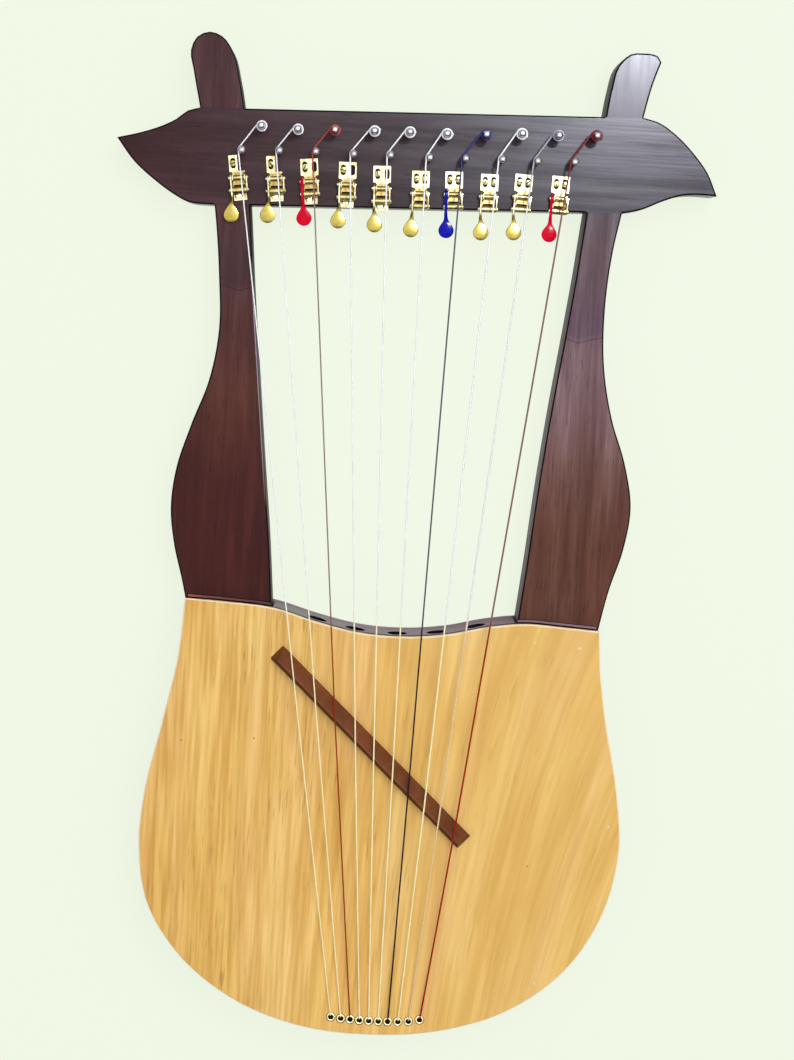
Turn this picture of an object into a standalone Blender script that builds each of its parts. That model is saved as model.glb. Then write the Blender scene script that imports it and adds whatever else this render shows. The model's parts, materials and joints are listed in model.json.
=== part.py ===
"""Ten-string lyre harp with a sharping lever on every string, lying on its flat back.

X runs across the instrument, Y along it towards the crossbar, Z up out of the soundboard.
Sizes are in millimetres here and become metres when a mesh is made. The origin is the middle
of the plan, on the flat back. String 1 is the shortest one, on the left.
"""

import math

import bmesh
import bpy
from mathutils import Matrix, Vector

MM = 0.001
SEAT = 0.3            # glue line or running gap between two pieces

# Depths, from the flat back up
BODY_DEPTH = 44.0
ARM_DEPTH = 32.0
BOARD_THICK = 3.0
BACK_THICK = 3.2
WALL_THICK = 5.0
OVERHANG = 0.8        # soundboard and back stand this far proud of rim and end wall
BODY_SPACING = 14.0   # between points along the soundbox's outline
EDGE = 0.9            # small chamfer that breaks a wooden edge
LAP_HEIGHT = 16.0     # where crossbar and arms are halved into each other
PAST = 2.0            # how far a cutting tool reaches past what it cuts

BOARD_LOW = BODY_DEPTH - BOARD_THICK
INSIDE_LOW = BACK_THICK + SEAT
INSIDE_HIGH = BOARD_LOW - SEAT

# Plan of the soundbox: its sides from the left shoulder round the tail to the right shoulder,
# and the S-shaped upper edge from left to right
BODY_SIDE = [(-144, -42.5), (-146.8, -82), (-156, -131), (-165.6, -178), (-168.2, -216),
             (-160.5, -259.5), (-138.2, -294), (-96, -326.5), (-48, -343.2), (0, -347),
             (50, -341.8), (95.8, -325.5), (134, -295.5), (159, -254), (168.6, -206),
             (163.5, -160), (154, -118), (147.2, -80), (144.3, -50.2)]
SHOULDER = [(-144, -42.5), (-112, -43.7), (-84, -45.8), (-52, -54.2), (-22, -60.2),
            (10, -61.3), (38, -58.2), (68, -51.2), (92, -47.9), (119, -48.8), (144.3, -50.2)]

# Arms: one smooth run from the inner shoulder up over the horn and down the outer edge
LEFT_ARM = [(-83.8, -52), (-88.6, 0), (-94.6, 52), (-101.6, 115), (-107.4, 168), (-113.1, 228),
            (-120.5, 294.4), (-124.6, 314), (-130, 331.5), (-137.4, 340.6), (-146, 343.3),
            (-154.6, 339.3), (-158.3, 330.5), (-155.8, 317), (-150.3, 292.4), (-137.2, 226.7),
            (-132, 180), (-130.2, 143.4), (-135.4, 108), (-146.4, 76), (-155.2, 45), (-157.5, 18),
            (-153.8, -8), (-147.6, -31)]
RIGHT_ARM = [(87.1, -54.5), (91.4, -9.3), (96.4, 50), (101.6, 100), (108.4, 156), (112.6, 192),
             (117, 236.5), (125.5, 302.3), (128.2, 322), (132, 337), (140, 345.2), (152.2, 346.4)]
RIGHT_HORN_CORNER = [(152.2, 346.4), (158.6, 345), (161.2, 341)]
RIGHT_ARM_BACK = [(161.2, 341), (156.9, 327.7), (151.7, 304.2), (141.3, 238.3), (136.8, 211),
                  (134.1, 168), (136.1, 133.2), (144.2, 96.3), (155.2, 66), (161.4, 36),
                  (158.2, 6), (150.4, -22)]
HEEL_END = -112.0     # how far the arms run down inside the soundbox
HEEL_TAPER = 11.0
HEEL_STEP = 2.0       # least height between the heel's end and the next point up
RIM_OUT = 100.0       # the rim beside the heels lies further out than this
NOTCH_LAP = 0.9       # how far the end wall's notches reach past the arms' inner edges
RIM_STEP = 4.0        # least height between the rim's end and the next point down

# Crossbar: swept fins at both ends, straight edges between them
LEFT_FIN_TOP = [(-205.6, 269.2), (-190, 273.4), (-175, 279), (-165.9, 283.9), (-158.6, 289.8),
                (-150, 292.4)]
RIGHT_FIN_TOP = [(151.8, 303.2), (162, 300.8), (175, 292.8), (188.4, 280.4), (198, 268.7),
                 (205.5, 253.2)]
RIGHT_FIN_BASE = [(205.5, 253.2), (194, 253.5), (182, 252.4), (168.8, 247.8), (153, 240.6),
                  (141.3, 238)]
LEFT_FIN_BASE = [(-138.4, 227.6), (-156.1, 228.6), (-166, 233.4), (-179, 242), (-193, 253.5),
                 (-205.6, 269.2)]

# Soundbox fittings
SOUND_HOLES_X = (-52.3, -25.0, 4.5, 32.0, 58.9)
SOUND_HOLE_R = 6.9
SOUND_HOLE_Y = -56.0
ACCESS_R = 30.0
ACCESS_AT = (3.0, -282.0)
BLOCK_LOW = 26.0
BLOCK_BACK = -321.0
BLOCK_MIDDLE, BLOCK_HALF = 4.0, 46.0
BLOCK_FRONT = -300.0      # the tail's wall lies beyond this line
BRACE_Y = (-236.0, -228.0)
BRACE_LOW = 30.5
BRACE_TIP, BRACE_SLOPE = 3.5, 35.0    # how thin its ends are, and how long their slopes

# Bridge, glued across the soundboard on a slant
BRIDGE_ENDS = ((-78.6, -76.4), (59.2, -204.0))
BRIDGE_TAIL_EDGE = -6.2   # across the bridge, from its middle line
BRIDGE_CREST = -2.6
BRIDGE_NECK_EDGE = 6.2
BRIDGE_HEIGHT = 10.0
BRIDGE_LIP = 3.4
BRIDGE_NIP = 3.5          # how much the ends slope in
BRIDGE_FOOT = 1.2         # height of the upright part of the tail side
CREST_HALF = 0.5

# Strings, pins and levers, from string 1 on the left to string 10 on the right
COUNT = 10
STRING_D = (0.90, 0.92, 0.96, 1.00, 1.04, 1.08, 1.12, 1.16, 1.20, 1.25)
EYELET_X = (-27.1, -20.0, -13.4, -6.8, -0.2, 6.5, 13.2, 20.4, 27.8, 35.6)
EYELET_Y = (-335.0, -335.8, -336.1, -336.4, -336.5, -336.5, -336.4, -336.1, -335.5, -334.0)
GUIDES = [(-119.6, 264.8), (-94.2, 265.8), (-69.7, 266.6), (-44.1, 266.5), (-19.2, 267.2),
          (7.3, 267.1), (31.6, 267.9), (56.4, 268.9), (80.3, 269.1), (105.4, 269.9)]
TUNING = [(-107.0, 281.3), (-82.5, 280.5), (-57.6, 281.4), (-31.0, 282.3), (-7.2, 283.0),
          (17.8, 283.2), (44.2, 284.3), (68.2, 286.3), (92.9, 286.6), (118.6, 287.9)]
PIVOTS = [(-121.7, 246.7), (-96.4, 247.5), (-73.1, 246.9), (-47.6, 246.2), (-23.9, 245.0),
          (2.5, 243.2), (25.4, 244.0), (49.3, 243.7), (72.2, 244.9), (97.7, 245.1)]
LEVER_TURN = (-7.7, -5.7, -5.9, -1.6, -2.3, -1.7, -2.4, -0.4, 1.9, 1.0)
PADDLE_X = (-7.0, -6.8, -5.1, -5.7, -4.8, -6.0, -4.9, -4.4, -3.9, -5.2)   # across each lever
LONG_BASE = 5             # levers 1 to 5 have the long base
NARROW_PLATE = 2          # levers 1 and 2 have the narrow mounting plate

EYELET_HOLE_R, EYELET_TUBE_R, EYELET_FLANGE_R = 1.6, 2.25, 3.0
EYELET_FLANGE = 0.8
BOARD_HOLE_R = 2.7
BLOCK_HOLE_R = 1.35
KNOT_R = 1.75
KNOT = ((3.6, False), (2.6, True), (1.2, True), (-0.1, False))    # depth below the block, whether thick

GUIDE_R, GUIDE_GROOVE_R, GUIDE_HEAD_R = 1.6, 1.3, 2.4
STRING_HIGH = 47.3        # height of the string's middle at its guide pin
GUIDE_NECK = 45.8
GUIDE_HEAD_LOW, GUIDE_HEAD_TOP = 48.8, 50.7
GUIDE_ROOT = 2.0          # how deep it stands in the crossbar
GUIDE_CROWN = (1.0, 0.8)  # how far its head rounds in and down

PIN_R, PIN_HOLE_R = 2.5, 2.95
PIN_FOOT, PIN_TOP = 12.0, 58.0
PIN_HOLE_LOW = 11.4
PIN_SHOULDER = 51.9       # where the round shank begins to turn square
PIN_SQUARE_LOW, PIN_SQUARE = 53.1, 4.3
PIN_TAPER, PIN_TIP, PIN_CROWN = 0.94, 0.72, 0.9    # shares of the square at its end, and the end's height
WINDING_POINTS = 12
WINDINGS = (30, 29, 30, 27, 28, 28, 30, 29, 28, 29)   # points round the pin, twelve to a turn
WINDING_GAP = 0.5         # clear space between one turn and the next
TAILS = (1.6, 1.6, 1.6, 1.9, 1.6, 2.2, 1.6, 1.6, 1.6, 1.6)
TAIL_LEAN, TAIL_RISE = 0.2, 1 / 8
WRAP = 0.05               # further slack round a tuning pin

# Lever, in its own axes: x across, y along the string, z up from the crossbar's face,
# with the pivot at x = y = 0
PIVOT_HIGH = 4.0
CRANK = 8.4
AXLE_R, AXLE_HOLE_R, ROLLER_R, RIVET_R = 1.7, 2.1, 2.4, 1.45
SHEET = 1.0
PLATE_HALF = 6.1
PLATE_Y = (4.0, 15.5)
PLATE_CORNER = 0.8
NECK = 0.4                # slant between mounting plate and floor
NARROW_X = (-6.0, 0.1)
BASE_END_LONG, BASE_END_SHORT = -15.4, -8.8
CHEEK_LEFT, CHEEK_RIGHT = (-4.3, -3.6), (3.9, 4.6)
CHEEK_HALF = 3.2
CHEEK_SHOULDER, CHEEK_TOP, CHEEK_CORNER = 5.6, 7.0, 1.4
SLOT_R, SLOT_REACH = 1.75, 1.85
SLOT_Y = 10.0
SLOT_LEFT, SLOT_RIGHT_LONG, SLOT_RIGHT_SHORT = -3.0, 3.4, 2.8
TAIL_HOLE, TAIL_HOLE_R, TAIL_HOLE_REACH = (-1.1, -11.9), 2.2, 0.5
WINDOW_Y = (-5.9, -4.7)   # opening across the floor, towards the roller
WINDOW_SIDE = 0.6         # sheet left beside it
STEM_X = (-6.0, -4.6)
STEM_ROUND = 2.8          # radius of the stem's end about the pivot
LINK_X = (4.9, 5.8)
LINK_AXLE_R, LINK_ROLLER_R = 2.5, 2.0
RIVET_X = (-7.5, 6.6)
# Stem and paddle sections: y, how far towards the paddle's own middle line, half width,
# half thickness, turn of the section
PADDLE = [(-9.6, 0.0, 2.0, 0.7, 90), (-12.4, 0.05, 1.7, 0.7, 80), (-14.6, 0.2, 1.4, 0.7, 50),
          (-16.8, 0.5, 1.55, 0.65, 14), (-18.6, 0.8, 2.2, 0.6, 0), (-20.6, 0.95, 3.7, 0.6, 0),
          (-22.6, 1.0, 4.8, 0.6, 0), (-24.8, 1.0, 5.25, 0.6, 0), (-27.0, 1.0, 4.7, 0.6, 0),
          (-28.8, 1.0, 3.1, 0.6, 0), (-29.7, 1.0, 1.3, 0.6, 0)]


def clear_scene():
    for old in list(bpy.data.objects):
        bpy.data.objects.remove(old, do_unlink=True)


def material(name, colour, roughness, metallic=0.0):
    mat = bpy.data.materials.new(name)
    mat.use_nodes = True
    shader = mat.node_tree.nodes["Principled BSDF"]
    shader.inputs["Base Color"].default_value = (*colour, 1.0)
    shader.inputs["Roughness"].default_value = roughness
    shader.inputs["Metallic"].default_value = metallic
    return mat


# Curves and outlines in plan

def smooth_run(points, spacing):
    """Points on a smooth curve through the given ones, about one spacing apart."""
    pts = [Vector(p) for p in points]
    ends = [2 * pts[0] - pts[1]] + pts + [2 * pts[-1] - pts[-2]]
    run = []
    for before, start, end, after in zip(ends, ends[1:], ends[2:], ends[3:]):
        span = (end - start).length
        back, ahead = (start - before).length, (after - end).length
        leave = ((end - start) / span * back + (start - before) / back * span) / (back + span)
        arrive = ((after - end) / ahead * span + (end - start) / span * ahead) / (span + ahead)
        steps = max(1, round(span / spacing))
        for k in range(steps):
            t = k / steps
            run.append((2 * t**3 - 3 * t**2 + 1) * start + (t**3 - 2 * t**2 + t) * span * leave
                       + (3 * t**2 - 2 * t**3) * end + (t**3 - t**2) * span * arrive)
    return run + [pts[-1]]


def outline(*runs, spacing=11.0):
    """One closed outline of smooth runs that meet at corners."""
    ring = []
    for run in runs:
        for point in smooth_run(run, spacing):
            if not ring or (point - ring[-1]).length > 0.05:
                ring.append(point)
    if (ring[0] - ring[-1]).length < 0.05:
        ring.pop()
    return ring


def area(ring):
    return sum(a.x * b.y - b.x * a.y for a, b in zip(ring, ring[1:] + ring[:1])) / 2


def offset(ring, distance):
    """The outline moved outwards by a distance, or inwards by a negative one."""
    side = 1 if area(ring) > 0 else -1
    moved = []
    for before, here, after in zip(ring[-1:] + ring, ring, ring[1:] + ring[:1]):
        a, b = (here - before).normalized(), (after - here).normalized()
        normal = Vector((a.y + b.y, -a.x - b.x)) * side
        normal.normalize()
        turn = max(0.45, normal.dot(Vector((a.y, -a.x)) * side))
        moved.append(here + normal * (distance / turn))
    return moved


def offset_path(path, distance):
    """An open path moved to its left by a distance."""
    moved = []
    for i, here in enumerate(path):
        along = (path[min(i + 1, len(path) - 1)] - path[max(i - 1, 0)]).normalized()
        moved.append(here + Vector((-along.y, along.x)) * distance)
    return moved


# Solids

def mesh_object(name, bm, mat, smooth=None):
    bmesh.ops.recalc_face_normals(bm, faces=bm.faces)
    mesh = bpy.data.meshes.new(name)
    bm.to_mesh(mesh)
    bm.free()
    mesh.transform(Matrix.Scale(MM, 4))
    if smooth:
        mesh.shade_smooth()
        mesh.set_sharp_from_angle(angle=math.radians(smooth))
    obj = bpy.data.objects.new(name, mesh)
    bpy.context.scene.collection.objects.link(obj)
    if mat:
        mesh.materials.append(mat)
    return obj


def stack(bm, rings):
    """Skin a stack of rings with equal point counts and cap both ends."""
    loops = [[bm.verts.new(p) for p in ring] for ring in rings]
    for low, high in zip(loops, loops[1:]):
        for i in range(len(low)):
            j = (i + 1) % len(low)
            bm.faces.new((low[i], low[j], high[j], high[i]))
    bm.faces.new(loops[0])
    bm.faces.new(loops[-1])


def at_height(ring, z):
    return [(p.x, p.y, z) for p in ring]


def slab(name, ring, low, high, mat=None, chamfer=0.0, bottom_chamfer=0.0):
    """A board with this outline, its top and bottom edges broken where a chamfer is given."""
    rings = []
    if bottom_chamfer:
        rings.append(at_height(offset(ring, -bottom_chamfer), low))
    rings.append(at_height(ring, low + bottom_chamfer))
    rings.append(at_height(ring, high - chamfer))
    if chamfer:
        rings.append(at_height(offset(ring, -chamfer), high))
    bm = bmesh.new()
    stack(bm, rings)
    return mesh_object(name, bm, mat)


def turned(bm, profile, sides, centre=(0, 0), start=0.0):
    """Turn a (radius, z) profile about a vertical line; a radius of 0 closes the end."""
    loops = []
    for radius, z in profile:
        if radius == 0:
            loops.append([bm.verts.new((centre[0], centre[1], z))])
        else:
            loops.append([bm.verts.new((centre[0] + radius * math.cos(start + 2 * math.pi * k / sides),
                                        centre[1] + radius * math.sin(start + 2 * math.pi * k / sides),
                                        z)) for k in range(sides)])
    for low, high in zip(loops, loops[1:]):
        for i in range(sides):
            j = (i + 1) % sides
            if len(low) == 1:
                bm.faces.new((low[0], high[j], high[i]))
            elif len(high) == 1:
                bm.faces.new((low[i], low[j], high[0]))
            else:
                bm.faces.new((low[i], low[j], high[j], high[i]))
    return loops


def peg(bm, profile, sides, centre=(0, 0), start=0.0):
    """A turned solid with flat ends."""
    loops = turned(bm, profile, sides, centre, start)
    for end in (loops[0], loops[-1]):
        if len(end) > 2:
            bm.faces.new(end)


def box(bm, low, high):
    corners = [(x, y) for x, y in ((low[0], low[1]), (high[0], low[1]), (high[0], high[1]), (low[0], high[1]))]
    stack(bm, [[(x, y, low[2]) for x, y in corners], [(x, y, high[2]) for x, y in corners]])


def boolean(obj, other, how):
    """Cut, or add, another solid and keep the result as this object's own mesh."""
    step = obj.modifiers.new(how, "BOOLEAN")
    step.operation = how
    step.solver = "EXACT"
    step.object = other
    graph = bpy.context.evaluated_depsgraph_get()
    result = bpy.data.meshes.new_from_object(obj.evaluated_get(graph))
    obj.modifiers.remove(step)
    old = obj.data
    obj.data = result
    result.name = obj.name
    bpy.data.meshes.remove(old)
    bpy.data.objects.remove(other, do_unlink=True)


def cutter(build):
    """A tool solid made by a function that fills a bmesh."""
    bm = bmesh.new()
    build(bm)
    return mesh_object("tool", bm, None)


# Shared outlines

def body_outline():
    return outline(list(reversed(SHOULDER)), BODY_SIDE, spacing=BODY_SPACING)


def shoulder_path():
    return smooth_run(SHOULDER, BODY_SPACING)


def crossbar_outline():
    return outline(LEFT_FIN_TOP, RIGHT_FIN_TOP, RIGHT_FIN_BASE, LEFT_FIN_BASE)


def heel(side):
    """The foot of an arm inside the soundbox, beside the rim: outer edge first."""
    wall = [p for p in offset(body_outline(), -(OVERHANG + WALL_THICK + SEAT))
            if HEEL_END + HEEL_STEP < p.y < rim_top(side) and p.x * side > RIM_OUT]
    wall.sort(key=lambda p: -p.y)
    first = wall[0] + (wall[0] - wall[1]) * ((rim_top(side) - wall[0].y) / (wall[0].y - wall[1].y))
    arm = LEFT_ARM if side < 0 else RIGHT_ARM
    inner = Vector(arm[0])
    foot = Vector((wall[-1].x, HEEL_END))
    return [first] + wall + [foot, Vector((inner.x + side * HEEL_TAPER, HEEL_END)), inner]


def rim_top(side):
    """Where the rim ends under the shoulder, just below the end wall."""
    corner = BODY_SIDE[0] if side < 0 else BODY_SIDE[-1]
    return corner[1] - OVERHANG - WALL_THICK - 3 * SEAT


# Wooden pieces

def make_soundboard(mat):
    board = slab("soundboard", body_outline(), BOARD_LOW, BODY_DEPTH, mat, chamfer=EDGE)

    def holes(bm):
        for x, y in zip(EYELET_X, EYELET_Y):
            peg(bm, [(BOARD_HOLE_R, BOARD_LOW - PAST), (BOARD_HOLE_R, BODY_DEPTH + PAST)], 8, (x, y))
    boolean(board, cutter(holes), "DIFFERENCE")
    return board


def make_back(mat):
    back = slab("back", body_outline(), 0.0, BACK_THICK, mat, bottom_chamfer=EDGE)
    hole = [(ACCESS_R, -PAST), (ACCESS_R, BACK_THICK + PAST)]
    boolean(back, cutter(lambda bm: peg(bm, hole, 24, ACCESS_AT)), "DIFFERENCE")
    return back


def make_rim(mat):
    """One bent strip from shoulder to shoulder round the tail."""
    path = smooth_run(BODY_SIDE, BODY_SPACING)
    outer = offset_path(path, OVERHANG)
    inner = offset_path(path, OVERHANG + WALL_THICK)
    keep = [i for i, p in enumerate(path) if p.y < rim_top(-1 if p.x < 0 else 1) - RIM_STEP]
    first, last = outer[keep[0]], outer[keep[-1]]
    ends = [Vector((first.x, rim_top(-1) - SEAT)), Vector((last.x, rim_top(1) - SEAT))]
    ring = [ends[0]] + [outer[i] for i in keep] + [ends[1]]
    ring += [ends[1] + (inner[keep[-1]] - outer[keep[-1]]).length * Vector((-1, 0))]
    ring += [inner[i] for i in reversed(keep)]
    ring += [ends[0] + (inner[keep[0]] - outer[keep[0]]).length * Vector((1, 0))]
    return slab("side_rim", ring, INSIDE_LOW, INSIDE_HIGH, mat)


def make_end_wall(mat):
    """The upper wall, notched over the arms, with a row of sound holes."""
    path = shoulder_path()
    path[0] = path[0] + Vector((OVERHANG, 0))
    path[-1] = path[-1] - Vector((OVERHANG, 0))
    outer = offset_path(path, -OVERHANG)
    inner = offset_path(path, -(OVERHANG + WALL_THICK))
    wall = slab("end_wall", outer + list(reversed(inner)), INSIDE_LOW, INSIDE_HIGH, mat)
    left, right = LEFT_ARM[0][0] + SEAT + NOTCH_LAP, RIGHT_ARM[0][0] - SEAT - NOTCH_LAP

    def notches(bm):
        box(bm, (-200, -90, INSIDE_LOW - PAST), (left, 0, ARM_DEPTH + SEAT))
        box(bm, (right, -90, INSIDE_LOW - PAST), (200, 0, ARM_DEPTH + SEAT))
    boolean(wall, cutter(notches), "DIFFERENCE")
    holes = cutter(lambda bm: [peg(bm, [(SOUND_HOLE_R, -20), (SOUND_HOLE_R, 20)], 12, (x, 0), 0.2)
                               for x in SOUND_HOLES_X])
    middle = (INSIDE_LOW + INSIDE_HIGH) / 2
    place = Matrix.Translation((0, SOUND_HOLE_Y * MM, middle * MM))
    holes.data.transform(place @ Matrix.Rotation(math.pi / 2, 4, "X"))
    boolean(wall, holes, "DIFFERENCE")
    return wall


def arm(name, ring, mat):
    """A plank with its heel in the soundbox and its horn above the crossbar."""
    plank = slab(name, ring, 0.0, INSIDE_HIGH, mat)
    wall_line = offset_path(shoulder_path(), -(OVERHANG + WALL_THICK + SEAT))
    above = [Vector((-260, wall_line[0].y))] + wall_line + [Vector((260, wall_line[-1].y)),
                                                           Vector((260, 400)), Vector((-260, 400))]
    boolean(plank, slab("tool", above, ARM_DEPTH, INSIDE_HIGH + PAST), "DIFFERENCE")
    boolean(plank, slab("tool", offset(body_outline(), SEAT), -PAST, INSIDE_LOW), "DIFFERENCE")
    boolean(plank, slab("tool", offset(crossbar_outline(), SEAT), LAP_HEIGHT - SEAT / 2, ARM_DEPTH + PAST),
            "DIFFERENCE")
    return plank


def arm_outlines():
    left_end = (BODY_SIDE[0][0] + OVERHANG, rim_top(-1))
    right_end = (BODY_SIDE[-1][0] - OVERHANG, rim_top(1))
    left = outline(LEFT_ARM + [left_end]) + heel(-1)[:-1]
    right = outline(RIGHT_ARM, RIGHT_HORN_CORNER, RIGHT_ARM_BACK + [right_end]) + heel(1)[:-1]
    return left, right


def make_crossbar(mat):
    """The crossbar, halved over both arms, bored for the tuning pins, with its guide pins."""
    bar = slab("crossbar", crossbar_outline(), 0.0, ARM_DEPTH, mat, chamfer=EDGE, bottom_chamfer=EDGE)
    for ring in arm_outlines():
        boolean(bar, slab("tool", offset(ring, SEAT), -PAST, LAP_HEIGHT + SEAT / 2), "DIFFERENCE")

    def bores(bm):
        for i in range(COUNT):
            peg(bm, [(PIN_HOLE_R, PIN_HOLE_LOW), (PIN_HOLE_R, ARM_DEPTH + PAST)], 10, tuning_at(i))
    boolean(bar, cutter(bores), "DIFFERENCE")
    profile = [(GUIDE_R, ARM_DEPTH - GUIDE_ROOT), (GUIDE_R, GUIDE_NECK), (GUIDE_GROOVE_R, STRING_HIGH),
               (GUIDE_HEAD_R, GUIDE_HEAD_LOW), (GUIDE_HEAD_R, GUIDE_HEAD_TOP - GUIDE_CROWN[1]),
               (GUIDE_HEAD_R - GUIDE_CROWN[0], GUIDE_HEAD_TOP)]
    boolean(bar, cutter(lambda bm: [peg(bm, profile, 8, guide_at(i)) for i in range(COUNT)]), "UNION")
    return bar


def bridge_axes():
    start, end = Vector(BRIDGE_ENDS[0]), Vector(BRIDGE_ENDS[1])
    along = (end - start).normalized()
    return start, end, along, Vector((-along.y, along.x))


def make_bridge(mat):
    """A bar with its crest near the tail side; its ends slope in."""
    start, end, along, across = bridge_axes()
    low = BODY_DEPTH + SEAT
    profile = [(BRIDGE_TAIL_EDGE, 0), (BRIDGE_TAIL_EDGE, BRIDGE_FOOT),
               (BRIDGE_CREST - CREST_HALF, BRIDGE_HEIGHT), (BRIDGE_CREST + CREST_HALF, BRIDGE_HEIGHT),
               (BRIDGE_NECK_EDGE, BRIDGE_LIP), (BRIDGE_NECK_EDGE, 0)]
    rings = []
    for point, inward in ((start, 1), (end, -1)):
        rings.append([(*(point + across * u + along * inward * BRIDGE_NIP * z / BRIDGE_HEIGHT), low + z)
                      for u, z in profile])
    bm = bmesh.new()
    stack(bm, rings)
    return mesh_object("bridge", bm, mat)


def make_string_block(mat):
    """Hardwood block under the tail of the soundboard that takes the strings' pull."""
    edge = offset_path(smooth_run(BODY_SIDE, BODY_SPACING), OVERHANG + WALL_THICK + SEAT)
    curve = [p for p in edge if abs(p.x - BLOCK_MIDDLE) < BLOCK_HALF and p.y < BLOCK_FRONT]
    ring = curve + [Vector((curve[-1].x, BLOCK_BACK)), Vector((curve[0].x, BLOCK_BACK))]
    block = slab("string_block", ring, BLOCK_LOW, INSIDE_HIGH, mat)

    def holes(bm):
        for x, y in zip(EYELET_X, EYELET_Y):
            peg(bm, [(BLOCK_HOLE_R, BLOCK_LOW - PAST), (BLOCK_HOLE_R, INSIDE_HIGH + PAST)], 6, (x, y))
    boolean(block, cutter(holes), "DIFFERENCE")
    return block


def make_brace(mat):
    """Cross brace under the soundboard, its ends cut down where they meet the rim."""
    inside = [p for p in offset(body_outline(), -(OVERHANG + WALL_THICK + SEAT))
              if BRACE_Y[0] - BODY_SPACING < p.y < BRACE_Y[1] + BODY_SPACING]
    left = max(p.x for p in inside if p.x < 0)
    right = min(p.x for p in inside if p.x > 0)
    shape = [(left, INSIDE_HIGH), (left, INSIDE_HIGH - BRACE_TIP), (left + BRACE_SLOPE, BRACE_LOW),
             (right - BRACE_SLOPE, BRACE_LOW), (right, INSIDE_HIGH - BRACE_TIP), (right, INSIDE_HIGH)]
    bm = bmesh.new()
    stack(bm, [[(x, y, z) for x, z in shape] for y in BRACE_Y])
    return mesh_object("soundboard_brace", bm, mat)


# Pins, eyelets and strings

def guide_at(i):
    return Vector(GUIDES[i])


def tuning_at(i):
    return Vector(TUNING[i])


def eyelet_at(i):
    return Vector((EYELET_X[i], EYELET_Y[i]))


def make_eyelets(mat):
    """Rolled brass eyelets: a flange on the board and a tube through it."""
    low, face = BOARD_LOW + 0.1, BODY_DEPTH + SEAT
    bm = bmesh.new()
    profile = [(EYELET_HOLE_R, low), (EYELET_TUBE_R, low), (EYELET_TUBE_R, face), (EYELET_FLANGE_R, face),
               (EYELET_FLANGE_R - 0.5, face + EYELET_FLANGE), (EYELET_HOLE_R + 0.1, face + EYELET_FLANGE)]
    turned(bm, profile + profile[:1], 10)
    bmesh.ops.remove_doubles(bm, verts=bm.verts, dist=0.001)
    first = mesh_object("eyelet_1", bm, mat, smooth=40)
    for i in range(COUNT):
        obj = first if i == 0 else bpy.data.objects.new(f"eyelet_{i + 1}", first.data)
        if i:
            bpy.context.scene.collection.objects.link(obj)
        x, y = eyelet_at(i)
        obj.location = (x * MM, y * MM, 0)


def make_tuning_pins(mat):
    """Steel pins with a squared head for the tuning key; each turns about its own origin."""
    bm = bmesh.new()
    sides = 12
    square = []
    for k in range(sides):
        angle = 2 * math.pi * k / sides
        reach = PIN_SQUARE / 2 / max(abs(math.cos(angle)), abs(math.sin(angle)))
        square.append(Vector((math.cos(angle), math.sin(angle))) * min(reach, PIN_R))
    circle = [Vector((math.cos(2 * math.pi * k / sides), math.sin(2 * math.pi * k / sides))) * PIN_R
              for k in range(sides)]
    rings = [at_height(circle, PIN_FOOT), at_height(circle, PIN_SHOULDER), at_height(square, PIN_SQUARE_LOW),
             at_height([p * PIN_TAPER for p in square], PIN_TOP - PIN_CROWN),
             at_height([p * PIN_TIP for p in square], PIN_TOP)]
    stack(bm, rings)
    first = mesh_object("tuning_pin_1", bm, mat, smooth=40)
    for i in range(COUNT):
        obj = first if i == 0 else bpy.data.objects.new(f"tuning_pin_{i + 1}", first.data)
        if i:
            bpy.context.scene.collection.objects.link(obj)
        x, y = tuning_at(i)
        obj.location = (x * MM, y * MM, 0)


def crest_crossing(eyelet, guide_side):
    """Where a straight string crosses the crest of the bridge, in plan."""
    start, _, along, across = bridge_axes()
    crest = start + across * BRIDGE_CREST
    run = guide_side - eyelet
    return eyelet + run * ((crest - eyelet).dot(across) / run.dot(across))


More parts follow.
